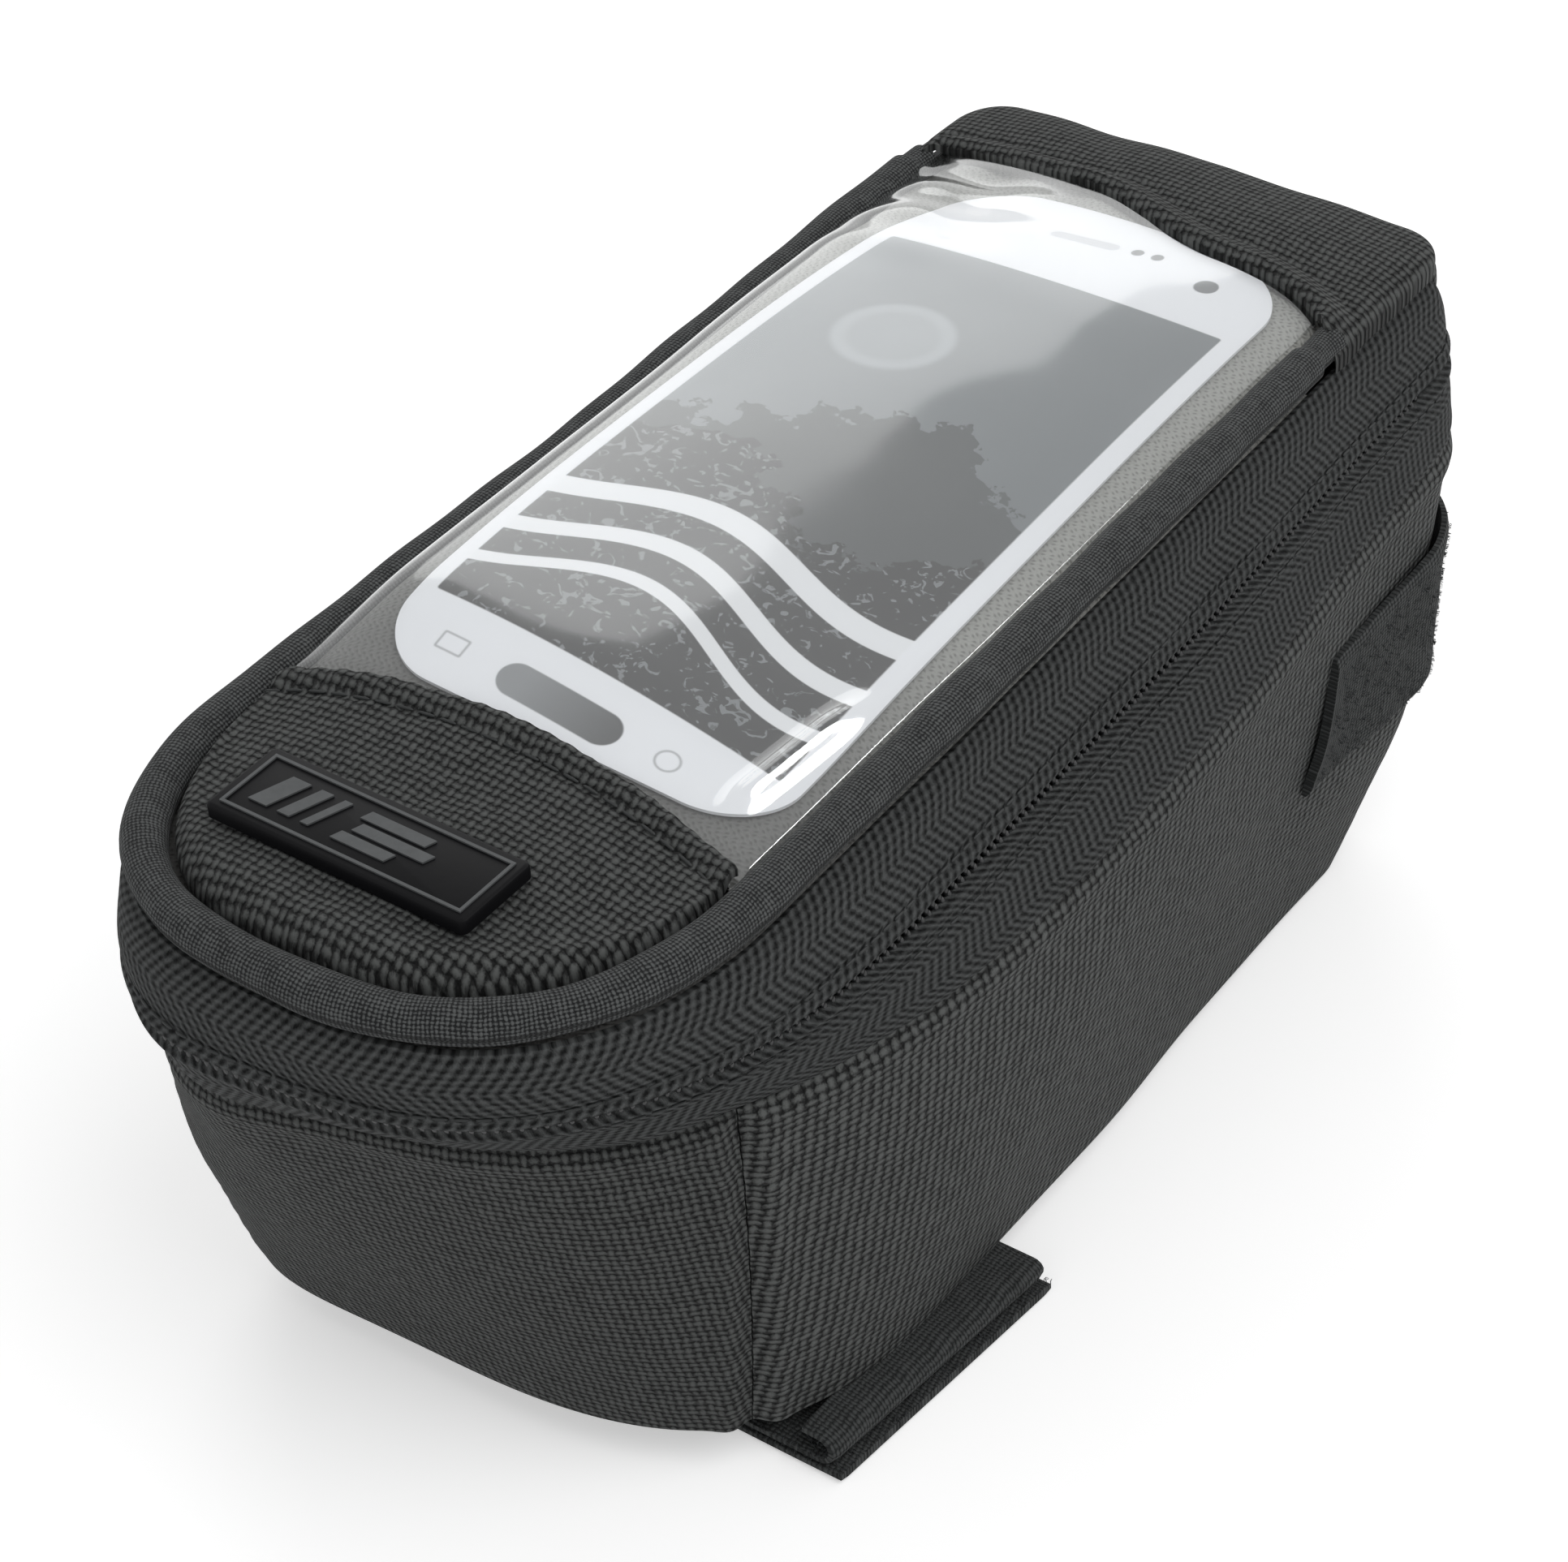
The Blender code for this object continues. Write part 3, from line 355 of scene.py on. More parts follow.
def weaveHeight(tree, u, v, pitchU, pitchV, dominance=0.0):
    # plain weave: each thread rises over one neighbour and dips under the next
    def cell(value, pitch):
        scaled = calc(tree, "DIVIDE", value, pitch)
        whole = calc(tree, "FLOOR", scaled)
        part = calc(tree, "SUBTRACT", scaled, whole)
        turned = calc(tree, "MULTIPLY_ADD", part, math.pi, -math.pi / 2)
        return whole, calc(tree, "COSINE", turned)

    wholeU, crownU = cell(u, pitchU)
    wholeV, crownV = cell(v, pitchV)
    both = calc(tree, "ADD", wholeU, wholeV)
    parity = calc(tree, "FLOORED_MODULO", both, 2.0)
    sign = calc(tree, "MULTIPLY_ADD", parity, -2.0, 1.0)
    liftWarp = calc(tree, "MULTIPLY", sign, crownV)
    liftWeft = calc(tree, "MULTIPLY", sign, crownU)
    warp = calc(tree, "MULTIPLY_ADD", liftWarp, 0.5, crownU)
    weft = calc(tree, "MULTIPLY_ADD", liftWeft, -0.5, crownV)
    weftLow = calc(tree, "SUBTRACT", weft, dominance)
    return calc(tree, "MAXIMUM", warp, weftLow)


def wovenCloth(name, low, high, pitchU, pitchV, rough=0.75, depth=0.5, dominance=0.0, sheen=0.04):
    # polyester pack cloth, coarse plain weave of dull filament yarn: rows of small matt dots; the darker gaps
    # are painted shade and the lighter thread tops painted highlight
    material, tree, shader = newMaterial(name)
    uv, u, v = clothCoordinates(tree)
    height = weaveHeight(tree, u, v, pitchU, pitchV, dominance)
    fibre = add(tree, "TexNoise", {"Scale": 3.2, "Detail": 3.0, "Roughness": 0.8}, ("Vector", uv))
    patch = add(tree, "TexNoise", {"Scale": 0.45, "Detail": 3.0, "Roughness": 0.6}, ("Vector", uv))
    # the weave height goes into the colour: painted shade in the gaps between threads, painted highlight on
    # the thread tops; the fibre and patch noise are the cloth's own uneven tone
    shade = calc(tree, "MULTIPLY_ADD", fibre, 1.5, -0.48)
    shade = calc(tree, "ADD", shade, height)
    spread = calc(tree, "MULTIPLY_ADD", patch, 0.9, shade)
    tone = remap(tree, spread, 1.42, 2.1)
    relief = calc(tree, "MULTIPLY_ADD", fibre, 0.25, height)
    finish(tree, shader, {"Base Color": mixColours(tree, tone, low, high), "Roughness": rough,
                          "Sheen Weight": sheen, "Sheen Roughness": 0.5, "Specular IOR Level": 0.14},
           relief, 0.9, depth * 0.001)
    return material


def zipTapeCloth(name, low, high):
    # woven polyester zip tape, herringbone rib: raised ribs 1.5 mm apart that lean one way, then the other
    material, tree, shader = newMaterial(name)
    uv, u, v = clothCoordinates(tree)
    fold = calc(tree, "PINGPONG", v, 4.4)
    lean = calc(tree, "MULTIPLY_ADD", fold, 0.8, u)
    phase = calc(tree, "MULTIPLY", lean, math.tau / 1.5)
    rib = calc(tree, "SINE", phase)
    cross = calc(tree, "MULTIPLY", v, math.tau / 0.85)
    beads = calc(tree, "SINE", cross)
    height = calc(tree, "MULTIPLY_ADD", beads, 0.55, rib)
    fibre = add(tree, "TexNoise", {"Scale": 2.6, "Detail": 3.0, "Roughness": 0.75}, ("Vector", uv))
    # the rib height goes into the colour: painted shade in the rib valleys, painted highlight on the crests,
    # over the tape's own uneven fibre tone
    shade = calc(tree, "MULTIPLY_ADD", fibre, 3.4, -0.6)
    shade = calc(tree, "ADD", shade, height)
    tone = remap(tree, shade, -0.3, 2.4)
    finish(tree, shader, {"Base Color": mixColours(tree, tone, low, high), "Roughness": 0.72,
                          "Specular IOR Level": 0.12}, shade, 0.9, 0.00022)
    return material


def plainFinish(name, colour, rough, grain=0.0, grainScale=900.0, metallic=0.0, spec=0.5):
    # simple moulded or painted finish with a fine grain in its tone and relief
    material, tree, shader = newMaterial(name)
    where = tree.nodes.new("ShaderNodeTexCoord").outputs["Object"]
    noise = add(tree, "TexNoise", {"Scale": grainScale, "Detail": 4.0}, ("Vector", where))
    base = toLinear(colour)[:3]
    dark, pale = (tuple(min(c * k, 1.0) for c in base) + (1.0,) for k in (0.8, 1.2))
    values = {"Base Color": mixColours(tree, noise, dark, pale), "Roughness": rough, "Metallic": metallic}
    if not metallic:
        values["Specular IOR Level"] = spec
    finish(tree, shader, values, noise if grain else None, 0.6, grain * 0.001)
    return material


# Camera, light and floor

view = {"lens": 93.168, "location": (0.23746, -0.31536, 0.37499), "turn": (50.6319, 2.4988, 35.443)}
light = {"world": 0.5, "key": 3.5, "fill": 0.7, "back": 1.6, "glint": 6.0, "floor": "#f4f4f4",
         "floorGlow": 0.42}


def seenDirectly(tree):
    # 1 for rays from the camera, a reflection or a see-through piece, 0 for the light that falls on the bag
    paths = tree.nodes.new("ShaderNodeLightPath")
    seen = calc(tree, "MAXIMUM", paths.outputs["Is Camera Ray"], paths.outputs["Is Glossy Ray"])
    return calc(tree, "MAXIMUM", seen, paths.outputs["Is Transmission Ray"])


def buildStage():
    scene = bpy.context.scene
    scene.view_settings.view_transform = "Standard"
    camera = bpy.data.objects.new("camera", bpy.data.cameras.new("camera"))
    camera.data.lens, camera.data.sensor_width = view["lens"], 36
    camera.data.clip_start = 0.01
    camera.location = view["location"]
    camera.rotation_euler = tuple(math.radians(a) for a in view["turn"])
    scene.collection.objects.link(camera)
    scene.camera = camera

    world = bpy.data.worlds.new("studio")
    scene.world = world
    world.use_nodes = True
    tree = world.node_tree
    strength = add(tree, "MapRange", {"To Min": light["world"], "To Max": 1.0}, ("Value", seenDirectly(tree)))
    finish(tree, tree.nodes["Background"], {"Color": (1, 1, 1, 1), "Strength": strength})

    for name, spot, aim, size, power in (
            ("keyLamp", (0.55, -0.15, 0.95), (0, 0, 0.05), 0.7, light["key"]),
            ("fillLamp", (0.1, -1.0, 0.55), (0, 0, 0.05), 0.8, light["fill"]),
            ("backLamp", (-0.6, 0.7, 0.6), (0, 0, 0.07), 0.7, light["back"]),
            ("glintLamp", (0.53, 0.54, 0.75), (0.03, -0.035, 0.09), 0.4, light["glint"])):
        lamp = bpy.data.lights.new(name, "AREA")
        lamp.shape, lamp.size, lamp.energy = "DISK", size, power
        piece = bpy.data.objects.new(name, lamp)
        piece.location = spot
        piece.rotation_euler = (Vector(aim) - Vector(spot)).to_track_quat("-Z", "Y").to_euler()
        piece.visible_diffuse = name != "glintLamp"
        scene.collection.objects.link(piece)

    material, tree, shader = newMaterial("paleFloor")
    glow = calc(tree, "MULTIPLY", seenDirectly(tree), light["floorGlow"])
    finish(tree, shader, {"Base Color": light["floor"], "Roughness": 0.9, "Specular IOR Level": 0.0,
                          "Emission Color": (1, 1, 1, 1), "Emission Strength": glow})
    bpy.ops.mesh.primitive_plane_add(size=6, location=(0, 0, -0.0003))
    floor = bpy.context.object
    floor.name = "floor"
    floor.data.materials.append(material)
    print("bag: stage ready")


# Outer cloth panels

walls = {"cloth": 0.0010, "roll": 0.0009, "rollWidth": 1.5, "unevenness": 0.00022, "yarn": 0.95}


def buildWalls(cloth, sideCloth):
    near, far = bag["nearSeam"], bag["farSeam"]
    panels = (
        ("nearWall", "near_wall_panel", cloth, -near, near, 2.0, 150, 3),
        ("rightSide", "right_side_panel", sideCloth, near, far, 2.0, 230, 5),
        ("leftSide", "left_side_panel", sideCloth, -far, -near, 2.0, 230, 8),
        ("farWall", "far_wall_panel", cloth, far, 2 - far, 0.02, 110, 11),
    )
    for name, node, panelCloth, start, end, top, columns, seed in panels:
        places = np.linspace(start + 0.0004, end - 0.0004, columns)
        if top < 1:
            rows = np.concatenate([np.linspace(top, 2, 22)[:-1], np.linspace(2, 3, 60)])
        else:
            rows = np.linspace(2.004, 3.0, 72)
        base = skin(places, rows)
        normal = skinNormals(places, rows, top if top < 1 else 2.0, 3.0)
        along, down = distances(base)
        fromStart = along - along[:, :1]
        fromEnd = along[:, -1:] - along
        fromTop = down if top >= 1 else down + 60
        edge = np.minimum(np.minimum(fromStart, fromEnd), fromTop)
        roll = -walls["roll"] * np.exp(-(edge / walls["rollWidth"]) ** 2)
        puff = 0.00045 * np.exp(-((edge - 3.2) / 1.8) ** 2)
        pucker = 0.00013 * np.sin(down * math.tau / 4.3 + softNoise(along, down, 18, seed + 1)) * (
            np.exp(-fromStart / 4) + np.exp(-fromEnd / 4))
        uneven = walls["unevenness"] * softNoise(along, down, 34, seed) * bump(edge, 1, 8)
        outer = bulged(base, normal) + normal * (roll + puff + pucker + uneven)[..., None]
        inner = outer - normal * walls["cloth"]
        uv = np.stack([along + 0.5 * walls["yarn"], down], axis=-1)
        piece = sheetMesh(name, outer, inner, uv)
        place(piece, "bag", panelCloth, (node,))
    print("bag: walls made")


def laySheet(name, grid, thick, body, material, nodes, angle=60):
    # sheet whose underside lies straight below it, with its plan place as its pattern's millimetres
    piece = sheetMesh(name, grid, grid - np.array([0, 0, thick]), grid[..., :2] * 1000, angle)
    place(piece, body, material, nodes)


# Zip: two tapes, their stitches, the coils' teeth and the end stop

zipBand = {"slit": 0.0007, "tape": 0.0008, "stitchFromSlit": 2.3, "stitchPitch": 2.3, "toothPitch": 1.35,
           "slider": 0.075, "lip": 0.0006, "lastRow": 2.014}
zipBand["upperBand"] = math.hypot(bag["zip"][0], bag["zip"][1] - bag["rim"][1])
zipBand["lowerBand"] = math.hypot(bag["seam"][0] - bag["zip"][0], bag["seam"][1] - bag["zip"][1])


def evenPlaces(start, end, row, pitch):
    # places that lie pitch millimetres apart along one row of the skin
    fine = np.linspace(start, end, 900)
    line = skin(fine, [row])[0]
    length = np.concatenate([[0], np.cumsum(np.linalg.norm(np.diff(line, axis=0), axis=-1))]) * 1000
    count = int(length[-1] / pitch)
    return np.interp((np.arange(count) + 0.5) * pitch, length, fine)


def zipFrame(places, row=1.0):
    point = skin(places, [row])[0]
    along = skin(places + 1e-3, [row])[0] - skin(places - 1e-3, [row])[0]
    up = skin(places, [row - 0.3])[0] - skin(places, [row + 0.3])[0]
    along /= np.linalg.norm(along, axis=-1, keepdims=True)
    up -= along * np.sum(up * along, axis=-1, keepdims=True)
    up /= np.linalg.norm(up, axis=-1, keepdims=True)
    return point, along, up, np.cross(along, up)


def tapeGrid(start, end, top, bottom, columns, count, slitAtEnd):
    places = np.linspace(start, end, columns)
    rows = np.linspace(top, bottom, count)
    base = skin(places, rows)
    normal = skinNormals(places, rows, 0.0 if slitAtEnd else 1.0, 1.0 if slitAtEnd else 2.02)
    along, down = distances(base)
    fromSlit = (down[-1] - down) if slitAtEnd else down
    fromSeam = down if slitAtEnd else (down[-1] - down)
    lip = zipBand["lip"] * np.exp(-((fromSlit - 0.9) / 0.8) ** 2)
    turnIn = -0.0007 * np.exp(-(fromSlit / 0.35) ** 2)
    groove = -0.00022 * np.exp(-((fromSlit - zipBand["stitchFromSlit"]) / 0.35) ** 2)
    swell = 0.0007 if slitAtEnd else 0.00042
    belly = swell * np.sin(np.clip(fromSeam / (fromSeam + fromSlit), 0, 1) * math.pi)
    tuck = -0.0008 * np.exp(-(fromSeam / 1.1) ** 2)
    # the tapes lie flatter along the left side, where the slider runs
    flatter = 1 - 0.9 * bump(-base[..., 0], 0, 0.03) * bump(base[..., 1], -0.03, -0.005)
    uneven = softNoise(along, down * 2.2, 22, 31 if slitAtEnd else 37) * bump(fromSlit, 0.5, 4)
    waves = 0.00022 * flatter * uneven
    outer = base + normal * ((lip + belly) * flatter + turnIn + groove + tuck + waves)[..., None]
    uv = np.stack([along, down + (0 if slitAtEnd else 4.4)], axis=-1)
    return outer, outer - normal * zipBand["tape"], uv, base


def buildZip(tapeCloth, packCloth, thread, nylon):
    end = bag["farSeam"] - 0.0006
    garage = placeAtY(bag["zip"], zipBand["slider"] - 0.008, -1)
    upperEdge = 1 - zipBand["slit"] / 2 / zipBand["upperBand"]
    lowerEdge = 1 + zipBand["slit"] / 2 / zipBand["lowerBand"]
    strips = (
        ("upperTape", "upper_zip_tape", "lid", tapeCloth, "zip_tape", garage, end, 0.0, upperEdge, 420, True),
        ("lowerTape", "lower_zip_tape", "bag", tapeCloth, "zip_tape",
         -end, end, lowerEdge, zipBand["lastRow"], 460, False),
        ("endStop", "zip_end_stop", "bag", packCloth, "side_fabric",
         -end, garage - 0.0015, 0.0, upperEdge, 60, True),
    )
    for name, node, body, cloth, slotName, start, stop, top, bottom, columns, atEnd in strips:
        outer, inner, uv, base = tapeGrid(start, stop, top, bottom, columns, 30, atEnd)
        piece = sheetMesh(name, outer, inner, uv)
        place(piece, body, cloth, (node,))

    coilEnd = placeAtY(bag["zip"], zipBand["slider"] + 0.006)
    for side, name, node, body, start in ((1, "upperCoil", "upper_zip_coil", "lid", garage),
                                          (-1, "lowerCoil", "lower_zip_coil", "bag", -coilEnd)):
        places = evenPlaces(start, coilEnd, 1.0, zipBand["toothPitch"])
        point, along, up, out = zipFrame(places + side * 0.0008)
        centre = point + up * side * 0.0007 - out * 0.0006 + along * side * zipBand["toothPitch"] * 0.00025
        piece = capsules(name, centre, up + along * side * 0.12, out, 0.0022, 0.00042)
        place(piece, body, nylon, (node,))

    for side, name, body, start in ((1, "upperStitches", "lid", garage), (-1, "lowerStitches", "bag", -end)):
        band = zipBand["upperBand"] if side > 0 else zipBand["lowerBand"]
        row = 1 - side * (zipBand["stitchFromSlit"] + 0.5) / 1000 / band
        places = evenPlaces(start, end, row, zipBand["stitchPitch"])
        point, along, up, out = zipFrame(places, row)
        lift = 0.00050 if side > 0 else 0.00028
        piece = capsules(name, point + out * lift, along, out, 0.0017, 0.00021, 0.8)
        place(piece, body, thread)
    print("bag: zip made")


# Lid

lid = {"base": 0.092, "coverCrown": 0.0030, "windowCrown": 0.0064, "crest": -0.018, "nearPower": 2.6,
       "leftPower": 5.0, "rightPower": 1.8, "windowNear": -0.0535, "windowFar": 0.0775, "nearSweep": 0.006,
       "farSweep": 0.0052, "farStep": 0.0050, "farLeftRise": 0.0018, "pipingEnd": 0.0642,
       "pipingLeftEnd": 0.0765, "pipingRadius": 0.0025, "pipingLevel": 0.0908, "film": 0.0004,
       "innerWidth": 0.033}
lidInner = insetLevel(bag["rim"], 2 * lid["pipingRadius"] + 0.0003)


def lidTop(x, y):
    # crowned over the covers; over the window steep on the left and falling slowly to the right
    wide = lid["innerWidth"]
    cover = lid["coverCrown"] * (1 - np.minimum(np.abs(x) / wide, 1) ** lid["nearPower"])
    left = x < lid["crest"]
    fromCrest = x - lid["crest"]
    reach = np.where(left, -(wide + lid["crest"]), wide - lid["crest"])
    away = np.clip(fromCrest / reach, 0, 1)
    window = lid["windowCrown"] * (1 - np.where(left, away ** lid["leftPower"], away ** lid["rightPower"]))
    near = np.clip((y - lid["windowNear"] + 0.012) / 0.03, 0, 1)
    far = np.clip((lid["windowFar"] - y) / 0.03, 0, 1)
    ease = near * near * (3 - 2 * near) * far * far * (3 - 2 * far)
    return lid["base"] + cover + (window - cover) * ease


def innerHalf(y, level=None):
    _, xs, ys, _ = halfOutline(level or lidInner)
    turn = int(np.argmax(xs))
    return np.interp(y, ys[:turn + 2], xs[:turn + 2])


def windowNearEdge(x):
    return lid["windowNear"] - lid["nearSweep"] * (x / bag["rim"][1]) ** 2


def windowFarEdge(x):
    # nearly straight on the left, then swept towards the near end on the right
    step = lid["farStep"] * bump(x, -0.008, 0.014)
    corner = lid["farSweep"] * np.clip(x / lid["innerWidth"], 0, 1) ** 6
    return lid["windowFar"] + lid["farLeftRise"] * np.clip(-x / lid["innerWidth"], 0, 1) - step - corner


piping = {"wide": 0.0027, "tall": 0.0025, "sides": 28, "columns": 360}


def buildPiping(cloth):
    # a rolled binding over a cord: it runs round the near end and ends under the far cover
    level = insetLevel(bag["rim"], lid["pipingRadius"])
    first = placeAtY(level, lid["pipingLeftEnd"] + 0.002, -1)
    last = placeAtY(level, lid["pipingEnd"] + 0.004, 1)
    places = np.linspace(first, last, piping["columns"])
    x, y = outlineAt(level, places)
    dx, dy = np.gradient(x), np.gradient(y)
    size = np.hypot(dx, dy)
    out = np.stack([dy / size, -dx / size, np.zeros_like(x)], axis=-1)
    length = np.concatenate([[0], np.cumsum(np.hypot(np.diff(x), np.diff(y)))]) * 1000
    turn = np.linspace(0, math.tau, piping["sides"], endpoint=False)
    rings, uv = [], []
    for k in range(len(places)):
        swell = 1 + 0.035 * math.sin(length[k] / 7.5) + 0.03 * math.sin(length[k] / 2.9 + 1)
        end = lid["pipingEnd"] if x[k] > 0 else lid["pipingLeftEnd"]
        endTuck = 1.0 if y[k] < end - 0.002 else 0.8
        wide = piping["wide"] * swell * endTuck * np.cos(turn)
        tall = piping["tall"] * swell * endTuck * np.sin(turn)
        middle = np.array([x[k], y[k], lid["pipingLevel"]])
        ring = middle + out[k] * wide[:, None] + np.array([0, 0, 1]) * tall[:, None]
        rings.append(ring)
        uv.append(np.stack([np.full_like(turn, length[k]), turn * 2.6], axis=-1))
    piece = tubeMesh("piping", np.array(rings), np.array(uv))
    place(piece, "lid", cloth, ("lid_piping",))
    print("bag: piping made")


nearCover = {"columns": 150, "rows": 64, "hem": 0.0009, "hemWidth": 1.5, "stitchFromEdge": 3.4,
             "cloth": 0.0010}


def buildNearCover(cloth, thread):
    # cover over the round end: rolled down beside the piping, with a folded hem along the window
    left, right = (placeAtY(lidInner, float(windowNearEdge(0.0335)) - 0.003, side) for side in (-1, 1))
    places = np.linspace(left, right, nearCover["columns"])
    shares = np.linspace(0, 1, nearCover["rows"]) ** 1.15
    ox, oy = outlineAt(lidInner, places)
    edge = windowNearEdge(ox) + 0.0008
    grid = np.zeros((len(shares), len(places), 3))
    for i, share in enumerate(shares):
        y = oy + (edge - oy) * share
        gap = np.minimum((y - oy) * 1000, 60)
        x = ox
        fromPiping = np.minimum(gap, (0.0332 - np.abs(x)) * 1000 + 2.0)
        fall = np.sqrt(np.clip(1 - (1 - np.clip(fromPiping / 7.0, 0, 1)) ** 3, 0, 1))
        z = lid["base"] - 0.0009 + (lidTop(x, y) + 0.0009 - lid["base"]) * fall
        fromWindow = (edge - y) * 1000
        z += nearCover["hem"] * np.exp(-((fromWindow - 1.1) / nearCover["hemWidth"]) ** 2) * fall
        z -= 0.00035 * np.exp(-((fromWindow - nearCover["stitchFromEdge"]) / 0.5) ** 2)
        z += 0.0006 * np.exp(-(fromPiping - 3.2) ** 2 / 5)
        z += 0.00018 * softNoise(x * 1000, y * 1000, 16, 41) * bump(fromPiping, 0, 5)
        z += 0.00012 * np.sin(x * 1000 * math.tau / 3.1) * np.exp(-(fromWindow / 4) ** 2)
        grid[i] = np.stack([x, y, z], axis=-1)
    laySheet("nearCover", grid, nearCover["cloth"], "lid", cloth, ("near_cover_panel",))
    xs = np.arange(-31, 31, 2.9) / 1000
    ys = windowNearEdge(xs) + 0.0008 - nearCover["stitchFromEdge"] / 1000
    centre = np.stack([xs, ys, lidTop(xs, ys) + 0.00005], axis=-1)
    along = np.gradient(centre, axis=0)
    up = np.tile([0.0, 0, 1], (len(xs), 1))
    stitches = capsules("coverStitches", centre, along, up, 0.0022, 0.00023, 0.8)
    place(stitches, "lid", thread)
    print("bag: near cover made")


window = {"columns": 150, "rows": 170}


def filmHeight(x, y):
    # the film's own waves: folds at the far left corner and a crease beside the card's near right corner
    z = lidTop(x, y)
    mx, my = x * 1000, y * 1000
    farLeft = bump(my, 38, 64) * bump(-mx, 2, 22) * (1 - bump(my, 71, 78))
    z = z + 0.0005 * farLeft * np.sin((mx * 0.75 + my * 0.35) * 0.45)
    z = z + 0.0002 * farLeft * np.sin(my * 0.6 - mx * 0.2)
    z = z + 0.00016 * softNoise(mx, my, 30, 53)
    along = (my + 46) / 22
    crease = (mx - (26.6 + 1.4 * np.clip(along, 0, 1))) / 1.7
    z = z + 0.0016 * np.exp(-crease ** 2) * bump(my, -54, -46) * (1 - bump(my, -34, -22))
    return z


def buildWindow(film):
    # the columns lie closer together at the sides, where the film turns down
    even = np.linspace(-1, 1, window["columns"])
    across = np.sin(even * math.pi / 2) * 0.35 + even * 0.65
    shares = np.linspace(0, 1, window["rows"])
    lengthwise = lid["windowNear"] + (lid["windowFar"] - lid["windowNear"]) * shares
    half = innerHalf(np.clip(lengthwise, lid["windowNear"], lid["pipingEnd"]))
    x = across[None, :] * half[:, None] * 1.004
    near, far = windowNearEdge(x) - 0.0012, windowFarEdge(x) + 0.0034
    y = near + (far - near) * shares[:, None]
    x = x + rimShift(x, y)
    z = filmHeight(x, y)
    nearHem = np.exp(-((y - windowNearEdge(x)) * 1000 / 1.6) ** 2)
    z -= 0.0007 * nearHem
    grid = np.stack([x, y, z], axis=-1)
    laySheet("windowFilm", grid, lid["film"], "lid", film, ("window_film",), 80)
    print("bag: window film made")


# plan sizes in millimetres: the left and right edges at each place along, and the thicknesses in metres
card = {
    "leftY": (-54, -47, -25, 7, 40, 63, 75), "leftX": (-24.2, -24.8, -26.1, -26.0, -24.4, -21.6, -20.2),
    "rightY": (-54, -47, -39, -21, 15, 35, 55, 66, 75),
    "rightX": (30.1, 30.2, 30.0, 29.0, 27.5, 26.8, 26.4, 26.3, 26.0),
    "near": -52.2, "far": 74.4, "thick": 0.0004, "under": 0.0008, "corner": 0.35,
}


def cardPlan(across, along):
    # plan place of a card point: across -1 to 1, along 0 at the near end to 1
    y = card["near"] + (card["far"] - card["near"]) * along
    corner = np.clip((np.abs(across) - 1 + card["corner"]) / card["corner"], 0, 1)
    turned = 1 - np.sqrt(1 - corner ** 2)
    nearRound = (1.4 * across ** 2 + 9.0 * turned) * (1 - bump(along, 0, 0.3))
    farRound = (2.0 * across ** 2 + 8.0 * turned) * bump(along, 0.7, 1)
    y = y + nearRound - farRound
    left = smoothCurve(card["leftY"], card["leftX"], y)
    right = smoothCurve(card["rightY"], card["rightX"], y)
    x = left + (right - left) * (across + 1) / 2
    tilt = -1.5 + 5.35 * (y + 40.6) / 95.2
    return x, y, across * 26.0, y - across * tilt


def buildCard(cardPrint):
    across, along = np.meshgrid(np.sin(np.linspace(-1, 1, 100) * math.pi / 2), np.linspace(0, 1, 130))
    x, y, u, v = cardPlan(across, along)
    x, y = x / 1000, y / 1000
    z = lidTop(x, y) - card["under"]
    grid = np.stack([x, y, z], axis=-1)
    piece = sheetMesh("phoneCard", grid, grid - np.array([0, 0, card["thick"]]), np.stack([u, v], axis=-1))
    place(piece, "lid", cardPrint, ("phone_card",))
    print("bag: card made")


pocket = {"cloth": 0.0007, "backing": 0.0008, "near": 0.0575, "level": 0.0875}


def buildPocket(cloth):
    # light mesh lining under the card; it shows round the card and sinks to the seam beside the piping
    across = np.linspace(-1, 1, 80)
    shares = np.linspace(0, 1, 120)
    farLine = windowFarEdge(across * lid["innerWidth"]) + 0.0034
    y = -pocket["near"] + (farLine + pocket["near"])[None, :] * shares[:, None]
    x = across[None, :] * (innerHalf(np.clip(y, -pocket["near"], lid["pipingEnd"])) + 0.0006)
    x = x + rimShift(x, y)
    dip = bump(np.abs(across) * 33, 29.5, 33.4)[None, :]
    sink = np.where(x > 0, 0.0010, 0.0005)
    z = lidTop(x, y) - 0.0017 - sink * dip
    mx, my = x * 1000, y * 1000
    farLeft = bump(my, 44, 66) * bump(-mx, -4, 16)
    z += 0.0006 * farLeft * np.sin(mx * 0.62 + my * 0.31) - 0.0004 * farLeft
    grid = np.stack([x, y, z], axis=-1)
    laySheet("pocketLining", grid, pocket["cloth"], "lid", cloth, ())
    level = insetLevel(bag["rim"], 0.0014)
    left, right = (placeAtY(level, 0.0605, side) for side in (-1, 1))
    ks = np.linspace(0.02, 1, 120)
    lx, ly = outlineAt(level, left * ks)
    rx, ry = outlineAt(level, right * ks)
    mix = np.linspace(0, 1, 60)[None, :]
    gx = lx[:, None] + (rx - lx)[:, None] * mix
    gy = ly[:, None] + (ry - ly)[:, None] * mix
    gz = pocket["level"] + 0.00025 * softNoise(gx * 1000, gy * 1000, 26, 61)
    back = np.stack([gx, gy, gz], axis=-1)
    laySheet("pocketBacking", back, pocket["backing"], "lid", cloth, ("pocket_backing",))
    print("bag: pocket made")


farCover = {"columns": 190, "rows": 56, "roll": 0.0016, "cloth": 0.0010}


